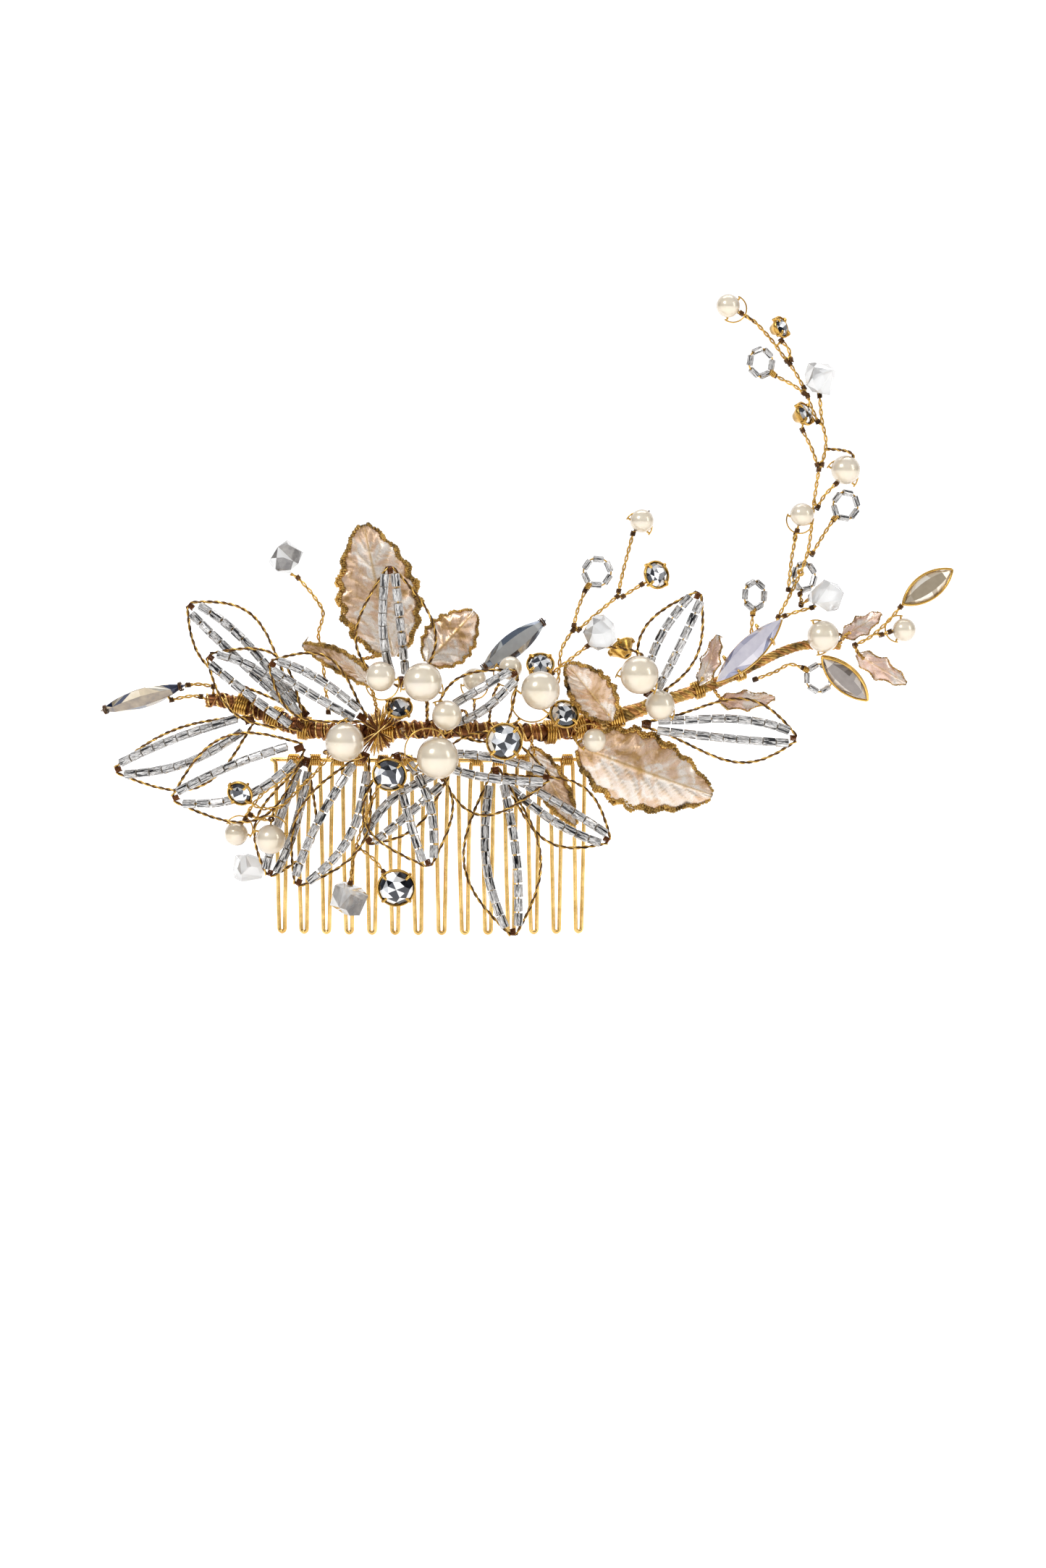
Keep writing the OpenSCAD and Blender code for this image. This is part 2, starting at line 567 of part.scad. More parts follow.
module bead_rings() {
    side_l = ring_bugle_l + ring_bugle_d * 0.65;
    corner_r = side_l / 2 / sin(180 / ring_bugles);
    color("lightcyan") for (b = bead_ring_list)
        translate(at(b[0])) rotate([0, 0, b[2]]) rotate([90, 0, 0]) rotate([0, 0, b[1]])
            for (k = [0:ring_bugles - 1]) {
                from = k * 360 / ring_bugles;
                to = from + 360 / ring_bugles;
                bugle(corner_r * [cos(from), sin(from), 0], corner_r * [cos(to), sin(to), 0],
                    ring_bugle_d, ring_bugle_l);
            }
}

// ---- stems -----------------------------------------------------------------
module tall_stems() {
    color("goldenrod") stems(tall_stem_routes);
}
module centre_stems() {
    color("goldenrod") stems(centre_stem_routes);
}
module lower_stems() {
    color("goldenrod") stems(lower_stem_routes);
}

comb_teeth();
comb_spine();
comb_lashing();
vine_core();
vine_wraps();
for (i = [1:PETALS]) {
    petal_frame(petals[i - 1]);
    petal_beads(petals[i - 1]);
}
for (i = [1:TURNING_PEARLS])
    pearl(large_pearls[i - 1]);
small_pearls();
pearl_bails();
for (i = [1:LEAVES])
    gold_leaf(large_leaves[i - 1]);
small_leaves();
stone_cups();
round_stones();
navette_settings();
navette_stones();
nugget_beads();
bead_rings();
tall_stems();
centre_stems();
lower_stems();
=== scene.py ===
import json
import math
import random
import bmesh
import bpy
import numpy as np
from mathutils import Matrix, Vector


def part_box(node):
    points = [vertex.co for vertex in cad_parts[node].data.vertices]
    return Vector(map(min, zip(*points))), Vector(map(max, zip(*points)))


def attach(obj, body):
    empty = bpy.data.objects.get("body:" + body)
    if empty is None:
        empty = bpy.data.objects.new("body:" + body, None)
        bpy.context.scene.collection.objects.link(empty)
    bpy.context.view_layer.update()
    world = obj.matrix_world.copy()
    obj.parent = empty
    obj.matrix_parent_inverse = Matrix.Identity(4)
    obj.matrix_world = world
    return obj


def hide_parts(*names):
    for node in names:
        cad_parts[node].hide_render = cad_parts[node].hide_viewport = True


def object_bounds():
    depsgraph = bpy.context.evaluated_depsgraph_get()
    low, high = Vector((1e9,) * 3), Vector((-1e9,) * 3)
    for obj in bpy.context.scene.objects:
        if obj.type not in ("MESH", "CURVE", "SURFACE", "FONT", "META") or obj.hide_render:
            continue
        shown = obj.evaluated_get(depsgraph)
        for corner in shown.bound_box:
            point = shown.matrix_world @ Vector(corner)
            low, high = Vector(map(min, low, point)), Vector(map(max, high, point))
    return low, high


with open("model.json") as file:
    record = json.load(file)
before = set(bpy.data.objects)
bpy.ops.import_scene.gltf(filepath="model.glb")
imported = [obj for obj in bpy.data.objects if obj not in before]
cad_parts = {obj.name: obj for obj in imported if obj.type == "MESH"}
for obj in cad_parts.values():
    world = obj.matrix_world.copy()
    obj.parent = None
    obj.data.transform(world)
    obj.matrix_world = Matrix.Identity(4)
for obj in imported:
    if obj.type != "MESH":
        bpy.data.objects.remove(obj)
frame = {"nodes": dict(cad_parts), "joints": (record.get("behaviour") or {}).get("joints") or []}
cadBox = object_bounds()
mm = 0.001
rng = random.Random(7)
print("frame loaded")


def looseParts(node):
    # the separate solids of a node, each as its points and who neighbours whom
    bm = bmesh.new()
    bm.from_mesh(frame["nodes"][node].data)
    bmesh.ops.remove_doubles(bm, verts=bm.verts, dist=2e-6)
    bm.verts.index_update()
    bm.verts.ensure_lookup_table()
    seen = set()
    parts = []
    for start in bm.verts:
        if start.index in seen:
            continue
        seen.add(start.index)
        todo, members = [start], []
        while todo:
            vert = todo.pop()
            members.append(vert)
            for edge in vert.link_edges:
                other = edge.other_vert(vert)
                if other.index not in seen:
                    seen.add(other.index)
                    todo.append(other)
        place = {vert.index: i for i, vert in enumerate(members)}
        points = np.array([vert.co for vert in members], float)
        links = [[place[edge.other_vert(vert).index] for edge in vert.link_edges] for vert in members]
        parts.append((points, links))
    bm.free()
    parts.sort(key=lambda part: tuple(part[0].mean(0).round(7)))
    return parts


def mainAxes(points):
    # middle, then the directions of the largest, middle and smallest spread
    middle = points.mean(0)
    _, vectors = np.linalg.eigh(np.cov((points - middle).T))
    return middle, vectors[:, 2], vectors[:, 1], vectors[:, 0]


def spanAlong(points, axis):
    reach = points @ axis
    return reach.min(), reach.max()


def centreline(part):
    # a swept wire is a point, rings of corners, and a point: walk it ring by ring
    points, links = part
    ends = [i for i, near in enumerate(links) if all(len(links[n]) == 5 for n in near)]
    start = ends[0] if ends else int(np.argmax(np.linalg.norm(points - points.mean(0), axis=1)))
    seen, layer, line, widths = {start}, [start], [], []
    while layer:
        centre = points[layer].mean(0)
        line.append(centre)
        widths.append(np.linalg.norm(points[layer] - centre, axis=1).mean())
        layer = sorted({n for i in layer for n in links[i]} - seen)
        seen.update(layer)
    return line[1:-1], widths[1:-1]


def smoothLine(line, step, values=None):
    # a smooth curve through the points, with a point about every step
    pts = [np.array(p, float) for p in line]
    out, outValues = [], []
    last = len(pts) - 1
    for i in range(last):
        p0, p1, p2, p3 = pts[max(i - 1, 0)], pts[i], pts[i + 1], pts[min(i + 2, last)]
        count = max(1, int(round(np.linalg.norm(p2 - p1) / step)))
        for j in range(count):
            t = j / count
            out.append(0.5 * (2 * p1 + (p2 - p0) * t + (2 * p0 - 5 * p1 + 4 * p2 - p3) * t * t
                              + (3 * p1 - p0 - 3 * p2 + p3) * t ** 3))
            if values is not None:
                outValues.append(values[i] * (1 - t) + values[i + 1] * t)
    out.append(pts[-1])
    if values is not None:
        outValues.append(values[-1])
        return out, outValues
    return out


def frames(line):
    # a side and an up direction at each point, carried along the line without twist
    tangents = []
    for i in range(len(line)):
        d = np.array(line[min(i + 1, len(line) - 1)]) - np.array(line[max(i - 1, 0)])
        tangents.append(d / (np.linalg.norm(d) + 1e-12))
    side = np.cross(tangents[0], [0, 1, 0])
    if np.linalg.norm(side) < 1e-3:
        side = np.cross(tangents[0], [1, 0, 0])
    side = side / np.linalg.norm(side)
    sides = []
    for t in tangents:
        side = side - t * (side @ t)
        side = side / (np.linalg.norm(side) + 1e-12)
        sides.append(side)
    return [(t, s, np.cross(t, s)) for t, s in zip(tangents, sides)]


def helixLine(line, radius, pitch, phase=0.0):
    # radius is a number or a list with one value for each point
    out, turned, before = [], phase, None
    radii = radius if hasattr(radius, "__len__") else [radius] * len(line)
    for point, (t, s, u), r in zip(line, frames(line), radii):
        if before is not None:
            turned += 2 * math.pi * np.linalg.norm(np.array(point) - before) / pitch
        before = np.array(point)
        out.append(np.array(point) + r * (s * math.cos(turned) + u * math.sin(turned)))
    return out


def finishPiece(name, bm, materials, replaced, body="comb", smooth=True):
    mesh = bpy.data.meshes.new(name)
    bm.to_mesh(mesh)
    bm.free()
    for material in materials:
        mesh.materials.append(material)
    if smooth:
        mesh.shade_smooth()
    piece = bpy.data.objects.new(name, mesh)
    bpy.context.scene.collection.objects.link(piece)
    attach(piece, body)
    if replaced:
        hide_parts(*replaced)
    print("made", name, len(mesh.polygons), "faces")
    return piece


def wiresInto(bm, wires, materialIndex=0, sides=6):
    # round wires as bevelled curves, made into mesh and added to the bmesh
    curve = bpy.data.curves.new("wireCurve", "CURVE")
    curve.dimensions = "3D"
    curve.bevel_depth = 1.0
    curve.bevel_resolution = max(0, sides // 2 - 2)
    curve.use_fill_caps = True
    for line, radius in wires:
        spline = curve.splines.new("POLY")
        spline.points.add(len(line) - 1)
        radii = radius if hasattr(radius, "__len__") else [radius] * len(line)
        for point, place, r in zip(spline.points, line, radii):
            point.co = (*place, 1)
            point.radius = r
    holder = bpy.data.objects.new("wireHolder", curve)
    bpy.context.scene.collection.objects.link(holder)
    mesh = bpy.data.meshes.new_from_object(holder.evaluated_get(bpy.context.evaluated_depsgraph_get()))
    before = len(bm.faces)
    bm.from_mesh(mesh)
    bm.faces.ensure_lookup_table()
    for face in bm.faces[before:]:
        face.material_index = materialIndex
    bpy.data.objects.remove(holder)
    bpy.data.curves.remove(curve)
    bpy.data.meshes.remove(mesh)


def turnedInto(bm, profile, centre, axis, steps):
    # a closed profile turned round an axis; its points are (distance from the axis, height along it)
    before = set(bm.faces)
    turn = Vector((0, 0, 1)).rotation_difference(Vector(axis)).to_matrix().to_4x4()
    place = Matrix.Translation(Vector(centre)) @ turn
    verts = [bm.verts.new(place @ Vector((r, 0, z))) for r, z in profile]
    edges = [bm.edges.new((verts[i], verts[(i + 1) % len(verts)])) for i in range(len(verts))]
    bmesh.ops.spin(bm, geom=verts + edges, cent=Vector(centre), axis=Vector(axis), angle=2 * math.pi,
                   steps=steps, use_merge=True, use_duplicate=False)
    bmesh.ops.recalc_face_normals(bm, faces=[f for f in bm.faces if f not in before])


def byPlace(faces):
    # an order that is the same in every run, so that the same painted facet reflections fall on the same
    # facets
    return sorted(faces, key=lambda f: tuple(round(c, 6) for c in f.calc_center_median()))


def hullInto(bm, points, materialIndex=0, dissolve=3.0):
    verts = [bm.verts.new(p) for p in points]
    before = set(bm.faces)
    made = bmesh.ops.convex_hull(bm, input=verts, use_existing_faces=False)
    spare = [g for g in made["geom_interior"] if isinstance(g, bmesh.types.BMVert)]
    if spare:
        bmesh.ops.delete(bm, geom=spare, context="VERTS")
    faces = [f for f in bm.faces if f not in before]
    edges = list(dict.fromkeys(e for f in faces for e in f.edges))
    corners = list(dict.fromkeys(v for f in faces for v in f.verts))
    bmesh.ops.dissolve_limit(bm, angle_limit=math.radians(dissolve), verts=corners, edges=edges)
    faces = [f for f in bm.faces if f not in before]
    bmesh.ops.recalc_face_normals(bm, faces=faces)
    for face in faces:
        face.material_index = materialIndex
    return byPlace(faces)


def newMaterial(name):
    material = bpy.data.materials.new(name)
    material.use_nodes = True
    nodes = material.node_tree.nodes
    nodes.clear()
    output = nodes.new("ShaderNodeOutputMaterial")
    shader = nodes.new("ShaderNodeBsdfPrincipled")
    material.node_tree.links.new(shader.outputs[0], output.inputs[0])
    return material, material.node_tree, shader


def ramp(tree, factor, stops):
    node = tree.nodes.new("ShaderNodeValToRGB")
    while len(node.color_ramp.elements) < len(stops):
        node.color_ramp.elements.new(0.5)
    for element, (position, colour) in zip(node.color_ramp.elements, stops):
        element.position = position
        element.color = (*colour, 1)
    tree.links.new(factor, node.inputs[0])
    return node.outputs[0]


def noise(tree, vector, scale, detail=3.0, roughness=0.55, distortion=0.0):
    node = tree.nodes.new("ShaderNodeTexNoise")
    node.inputs["Scale"].default_value = scale
    node.inputs["Detail"].default_value = detail
    node.inputs["Roughness"].default_value = roughness
    node.inputs["Distortion"].default_value = distortion
    tree.links.new(vector, node.inputs["Vector"])
    return node.outputs["Fac"]


def objectPlace(tree):
    return tree.nodes.new("ShaderNodeTexCoord").outputs["Object"]


def attributeOut(tree, name, kind="Fac"):
    node = tree.nodes.new("ShaderNodeAttribute")
    node.attribute_name = name
    return node.outputs[kind]


def mathNode(tree, kind, a, b=None, c=None):
    node = tree.nodes.new("ShaderNodeMath")
    node.operation = kind
    for socket, value in zip(node.inputs, (a, b, c)):
        if value is None:
            continue
        if isinstance(value, (int, float)):
            socket.default_value = value
        else:
            tree.links.new(value, socket)
    return node.outputs[0]


def mixColours(tree, factor, a, b):
    node = tree.nodes.new("ShaderNodeMix")
    node.data_type = "RGBA"
    for socket, value in ((node.inputs[0], factor), (node.inputs[6], a), (node.inputs[7], b)):
        if isinstance(value, (int, float)):
            socket.default_value = value
        elif isinstance(value, tuple):
            socket.default_value = (*value, 1)
        else:
            tree.links.new(value, socket)
    return node.outputs[2]


def bump(tree, height, strength, distance):
    node = tree.nodes.new("ShaderNodeBump")
    node.inputs["Strength"].default_value = strength
    node.inputs["Distance"].default_value = distance
    tree.links.new(height, node.inputs["Height"])
    return node.outputs["Normal"]


def makeGroup(name, inputs, outputs):
    group = bpy.data.node_groups.new(name, "ShaderNodeTree")
    for kind, socketName, value in inputs:
        socket = group.interface.new_socket(name=socketName, in_out="INPUT", socket_type=kind)
        if value is not None:
            socket.default_value = value
    for kind, socketName in outputs:
        group.interface.new_socket(name=socketName, in_out="OUTPUT", socket_type=kind)
    return group, group.nodes.new("NodeGroupInput"), group.nodes.new("NodeGroupOutput")


# drawn wire: colour drifts along it, small scratches and dents, dull in places
wireWear, groupIn, groupOut = makeGroup(
    "drawnWire",
    [("NodeSocketColor", "Bright", (0.9, 0.7, 0.4, 1)), ("NodeSocketColor", "Dull", (0.5, 0.3, 0.1, 1)),
     ("NodeSocketFloat", "Dull share", 0.5), ("NodeSocketFloat", "Base roughness", 0.2)],
    [("NodeSocketColor", "Colour"), ("NodeSocketFloat", "Roughness"), ("NodeSocketFloat", "Height")])
place = wireWear.nodes.new("ShaderNodeTexCoord").outputs["Object"]
patches = noise(wireWear, place, 420.0, 4.0, 0.6)
fine = noise(wireWear, place, 2600.0, 3.0, 0.6)
dullness = mathNode(wireWear, "MULTIPLY_ADD", patches, 2.4, -1.2)
shifted = mathNode(wireWear, "ADD", dullness, groupIn.outputs["Dull share"])
clampShift = mathNode(wireWear, "MAXIMUM", mathNode(wireWear, "MINIMUM", shifted, 1.0), 0.0)
wireWear.links.new(mixColours(wireWear, clampShift, groupIn.outputs["Bright"], groupIn.outputs["Dull"]),
                   groupOut.inputs["Colour"])
rougher = mathNode(wireWear, "MULTIPLY", clampShift, 0.16)
finer = mathNode(wireWear, "MULTIPLY", fine, 0.1)
wireWear.links.new(mathNode(wireWear, "ADD", mathNode(wireWear, "ADD", rougher, finer),
                            groupIn.outputs["Base roughness"]), groupOut.inputs["Roughness"])
wireWear.links.new(mathNode(wireWear, "ADD", patches, finer), groupOut.inputs["Height"])


def metalMaterial(name, bright, dull, dullShare, roughness, bumpStrength=0.25):
    material, tree, shader = newMaterial(name)
    group = tree.nodes.new("ShaderNodeGroup")
    group.node_tree = wireWear
    group.inputs["Bright"].default_value = (*bright, 1)
    group.inputs["Dull"].default_value = (*dull, 1)
    group.inputs["Dull share"].default_value = dullShare
    group.inputs["Base roughness"].default_value = roughness
    tree.links.new(group.outputs["Colour"], shader.inputs["Base Color"])
    tree.links.new(group.outputs["Roughness"], shader.inputs["Roughness"])
    tree.links.new(bump(tree, group.outputs["Height"], bumpStrength, 0.00005), shader.inputs["Normal"])
    shader.inputs["Metallic"].default_value = 1.0
    return material


goldWire = metalMaterial("goldWire", (0.86, 0.54, 0.14), (0.34, 0.17, 0.03), 0.4, 0.14)
combGold = metalMaterial("combGold", (0.95, 0.66, 0.25), (0.62, 0.36, 0.09), 0.3, 0.12)
darkWire = metalMaterial("darkWire", (0.24, 0.12, 0.05), (0.04, 0.022, 0.012), 0.55, 0.22)
copperWire = metalMaterial("copperWire", (0.66, 0.33, 0.11), (0.22, 0.09, 0.03), 0.45, 0.2)
redWire = metalMaterial("redWire", (0.3, 0.12, 0.045), (0.06, 0.02, 0.01), 0.5, 0.24)
granuleGold = metalMaterial("granuleGold", (0.82, 0.5, 0.14), (0.035, 0.02, 0.01), 0.5, 0.2, 0.5)
print("metal finishes done")


def glassBeadMaterial(name, warmReflection):
    # silver-lined glass: long streaks run round each bead, and each bead has its own; the streaks are painted
    # reflections on the silver lining
    material, tree, shader = newMaterial(name)
    coords = attributeOut(tree, "beadPlace", "Vector")
    seed = attributeOut(tree, "beadSeed")
    shift = tree.nodes.new("ShaderNodeVectorMath")
    shift.operation = "ADD"
    spread = tree.nodes.new("ShaderNodeCombineXYZ")
    tree.links.new(mathNode(tree, "MULTIPLY", seed, 9.0), spread.inputs[2])
    tree.links.new(coords, shift.inputs[0])
    tree.links.new(spread.outputs[0], shift.inputs[1])
    # painted reflections: near-black, white, grey and warm streaks round the bead
    paintedReflectionStreaks = noise(tree, shift.outputs[0], 2.3, 2.0, 0.6)
    colour = ramp(tree, paintedReflectionStreaks, [
        (0.0, (0.004, 0.004, 0.006)), (0.43, (0.008, 0.008, 0.01)), (0.455, (0.4, 0.38, 0.36)),
        (0.485, (0.95, 0.94, 0.93)), (0.525, (0.03, 0.03, 0.035)), (0.555, warmReflection), (0.6, (0.97, 0.97, 0.97)),
        (0.65, (0.08, 0.075, 0.075)), (0.7, (0.92, 0.91, 0.89))])
    rimmed = attributeOut(tree, "rim")
    tree.links.new(mixColours(tree, rimmed, colour, (0.46, 0.42, 0.37)), shader.inputs["Base Color"])
    haze = noise(tree, objectPlace(tree), 1500.0, 2.0)
    tree.links.new(mathNode(tree, "MULTIPLY_ADD", haze, 0.12, 0.03), shader.inputs["Roughness"])
    tree.links.new(bump(tree, haze, 0.12, 0.00003), shader.inputs["Normal"])
    shader.inputs["Metallic"].default_value = 0.2
    shader.inputs["Coat Weight"].default_value = 0.5
    shader.inputs["Coat Roughness"].default_value = 0.03
    shader.inputs["IOR"].default_value = 1.52
    return material


def pearlMaterial():
    material, tree, shader = newMaterial("pearlNacre")
    coords = objectPlace(tree)
    cloud = noise(tree, coords, 260.0, 3.0, 0.5)
    fine = noise(tree, coords, 1400.0, 3.0, 0.6)
    body = ramp(tree, cloud, [(0.25, (0.84, 0.72, 0.53)), (0.5, (0.92, 0.82, 0.65)),
                              (0.75, (0.88, 0.78, 0.66))])
    # the pearl turns a darker golden grey towards its edges as the camera sees it: painted sheen and edge
    # shade
    layer = tree.nodes.new("ShaderNodeLayerWeight")
    layer.inputs[0].default_value = 0.42
    tree.links.new(mixColours(tree, layer.outputs["Facing"], body, (0.5, 0.4, 0.29)),
                   shader.inputs["Base Color"])
    tree.links.new(mathNode(tree, "MULTIPLY_ADD", fine, 0.1, 0.2), shader.inputs["Roughness"])
    tree.links.new(bump(tree, fine, 0.08, 0.00004), shader.inputs["Normal"])
    shader.inputs["Metallic"].default_value = 0.22
    shader.inputs["Coat Weight"].default_value = 1.0
    shader.inputs["Coat Roughness"].default_value = 0.08
    shader.inputs["Specular IOR Level"].default_value = 0.7
    shader.inputs["Subsurface Weight"].default_value = 0.08
    shader.inputs["Subsurface Radius"].default_value = (0.002, 0.0016, 0.0012)
    return material


# every facet gets its own painted reflection, from dark to bright, clouded a little by the glass
cutFacets, groupIn, groupOut = makeGroup(
    "cutFacets", [("NodeSocketFloat", "Polish", 0.06)],
    [("NodeSocketFloat", "Painted reflection"), ("NodeSocketFloat", "Roughness")])
soft = noise(cutFacets, objectPlace(cutFacets), 700.0, 2.0)
cutFacets.links.new(mathNode(cutFacets, "ADD", attributeOut(cutFacets, "paintedFacetReflection"),
                             mathNode(cutFacets, "MULTIPLY_ADD", soft, 0.24, -0.12)), groupOut.inputs["Painted reflection"])
cutFacets.links.new(mathNode(cutFacets, "MULTIPLY_ADD", soft, 0.06, groupIn.outputs["Polish"]),
                    groupOut.inputs["Roughness"])


def facetMaterial(name, stops, metallic, roughness=0.06, clearness=0.0):
    material, tree, shader = newMaterial(name)
    group = tree.nodes.new("ShaderNodeGroup")
    group.node_tree = cutFacets
    group.inputs["Polish"].default_value = roughness
    tree.links.new(ramp(tree, group.outputs["Painted reflection"], stops), shader.inputs["Base Color"])
    tree.links.new(group.outputs["Roughness"], shader.inputs["Roughness"])
    shader.inputs["Metallic"].default_value = metallic
    shader.inputs["Transmission Weight"].default_value = clearness
    shader.inputs["Coat Weight"].default_value = 1.0
    shader.inputs["Coat Roughness"].default_value = 0.02
    shader.inputs["Specular IOR Level"].default_value = 0.8
    return material


# enamel over a cast leaf: pearly clouds, raised golden veins and a gilt rim flecked near-black
leafEnamel, groupIn, groupOut = makeGroup(
    "leafEnamel",
    [("NodeSocketColor", "Blush", (0.7, 0.5, 0.4, 1)), ("NodeSocketColor", "Bronze", (0.3, 0.15, 0.05, 1)),
     ("NodeSocketColor", "Vein gold", (0.55, 0.34, 0.1, 1))],
    [("NodeSocketColor", "Colour"), ("NodeSocketFloat", "Roughness"), ("NodeSocketFloat", "Metallic"),
     ("NodeSocketFloat", "Height")])
place = objectPlace(leafEnamel)
cloud = noise(leafEnamel, place, 190.0, 5.0, 0.62, 0.6)
fleck = noise(leafEnamel, place, 900.0, 4.0, 0.7)
bronzeShare = ramp(leafEnamel, cloud, [(0.36, (1.0, 1.0, 1.0)), (0.45, (0.0, 0.0, 0.0))])
pearlShare = ramp(leafEnamel, cloud, [(0.48, (0.0, 0.0, 0.0)), (0.56, (0.95, 0.95, 0.95)),
                                      (0.7, (0.3, 0.3, 0.3))])
colour = mixColours(leafEnamel, bronzeShare, groupIn.outputs["Blush"], groupIn.outputs["Bronze"])
colour = mixColours(leafEnamel, pearlShare, colour, (0.95, 0.89, 0.82))
vein, rim = attributeOut(leafEnamel, "vein"), attributeOut(leafEnamel, "rimShade")
colour = mixColours(leafEnamel, mathNode(leafEnamel, "MULTIPLY", vein, 0.75), colour,
                    groupIn.outputs["Vein gold"])
darkFleckedRim = ramp(leafEnamel, fleck, [(0.42, (0.04, 0.025, 0.012)), (0.54, (0.66, 0.42, 0.12))])
leafEnamel.links.new(mixColours(leafEnamel, rim, colour, darkFleckedRim), groupOut.inputs["Colour"])
leafEnamel.links.new(mathNode(leafEnamel, "MULTIPLY_ADD", fleck, 0.3, 0.12), groupOut.inputs["Roughness"])
leafEnamel.links.new(mathNode(leafEnamel, "MULTIPLY_ADD", rim, 0.5, 0.4), groupOut.inputs["Metallic"])
leafEnamel.links.new(mathNode(leafEnamel, "ADD", mathNode(leafEnamel, "MULTIPLY", vein, 0.8),
                              mathNode(leafEnamel, "MULTIPLY", fleck, 0.6)), groupOut.inputs["Height"])


def leafMaterial(name, blush, bronze, veinGold):
    material, tree, shader = newMaterial(name)
    group = tree.nodes.new("ShaderNodeGroup")
    group.node_tree = leafEnamel
    for socketName, colour in (("Blush", blush), ("Bronze", bronze), ("Vein gold", veinGold)):
        group.inputs[socketName].default_value = (*colour, 1)
    tree.links.new(group.outputs["Colour"], shader.inputs["Base Color"])
    tree.links.new(group.outputs["Roughness"], shader.inputs["Roughness"])
    tree.links.new(group.outputs["Metallic"], shader.inputs["Metallic"])
    tree.links.new(bump(tree, group.outputs["Height"], 0.5, 0.00012), shader.inputs["Normal"])
    shader.inputs["Coat Weight"].default_value = 0.7
    shader.inputs["Coat Roughness"].default_value = 0.12
    return material


bugleGlass = glassBeadMaterial("bugleGlass", (0.62, 0.57, 0.52))
pearlNacre = pearlMaterial()
# in these facet finishes the dark and bright ends are painted reflections; the navette ramps also carry each
# stone's own hue
clearFoil = facetMaterial("clearFoil", [(0.0, (0.008, 0.01, 0.015)), (0.34, (0.03, 0.035, 0.05)),
                                        (0.5, (0.3, 0.32, 0.37)),
                                        (0.7, (0.9, 0.92, 0.95)), (0.9, (1.0, 1.0, 1.0))], 0.6)
nuggetCrystal = facetMaterial("nuggetCrystal", [(0.0, (0.12, 0.11, 0.11)), (0.16, (0.6, 0.57, 0.53)),
                                                (0.36, (0.95, 0.94, 0.93)), (0.85, (1.0, 1.0, 1.0))], 0.1,
                              0.03, 0.5)
navetteFinishes = [
    facetMaterial("champagneNavy", [(0.0, (0.01, 0.015, 0.05)), (0.42, (0.03, 0.05, 0.12)),
                                    (0.55, (0.3, 0.24, 0.18)),
                                    (0.75, (0.66, 0.55, 0.38)), (0.95, (0.95, 0.9, 0.8))], 0.5),
    facetMaterial("greyBlueStone", [(0.0, (0.01, 0.02, 0.05)), (0.4, (0.1, 0.13, 0.18)),
                                    (0.6, (0.4, 0.42, 0.42)),
                                    (0.9, (0.75, 0.76, 0.76))], 0.45),
    facetMaterial("milkyOpal", [(0.0, (0.2, 0.22, 0.36)), (0.4, (0.5, 0.48, 0.6)), (0.65, (0.76, 0.73, 0.8)),
                                (0.95, (0.93, 0.89, 0.9))], 0.15, 0.1),
    facetMaterial("smokyTaupe", [(0.0, (0.1, 0.08, 0.07)), (0.5, (0.34, 0.29, 0.26)),
                                 (0.85, (0.62, 0.56, 0.5))], 0.2),
    facetMaterial("paleChampagne", [(0.0, (0.3, 0.24, 0.16)), (0.5, (0.68, 0.57, 0.42)),
                                    (0.85, (0.92, 0.86, 0.75))], 0.3),
]
blushLeaf = leafMaterial("blushLeaf", (0.78, 0.54, 0.38), (0.46, 0.26, 0.1), (0.62, 0.38, 0.11))
pinkLeaf = leafMaterial("pinkLeaf", (0.88, 0.62, 0.52), (0.74, 0.46, 0.34), (0.74, 0.48, 0.22))
print("glass, pearl, stone and leaf finishes done")


comb = {"wire": 0.7 * mm, "tipRadius": 0.5 * mm, "archRadius": 0.9 * mm, "sides": 12, "lashTurns": 5,
        "lashWire": 0.15 * mm, "lashPitch": 0.34 * mm}
teethLow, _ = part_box("comb_teeth")
wireR = comb["wire"] / 2
tipZ = teethLow[2] + comb["tipRadius"] + wireR
toothPlaces = []
for points, links in looseParts("comb_teeth"):
    flat = points[:, :2]
    values, vectors = np.linalg.eigh(np.cov((flat - flat.mean(0)).T))
    along = np.array([*vectors[:, 1], 0.0])
    along = along if along[0] > 0 else -along
    low, high = spanAlong(points, along)
    middle = np.array([*flat.mean(0), 0.0])
    middle += along * ((low + high) / 2 - middle @ along)
    toothPlaces.append((middle, along, high - low))
toothPlaces.sort(key=lambda place: place[0][0])
gaps = [np.linalg.norm(b[0] - a[0]) for a, b in zip(toothPlaces, toothPlaces[1:])]
halfPitch = sum(gaps) / len(gaps) / 2
legReach = comb["tipRadius"] + comb["archRadius"]
legLean = math.atan2(halfPitch, -tipZ) - math.asin(legReach / math.hypot(tipZ, halfPitch))


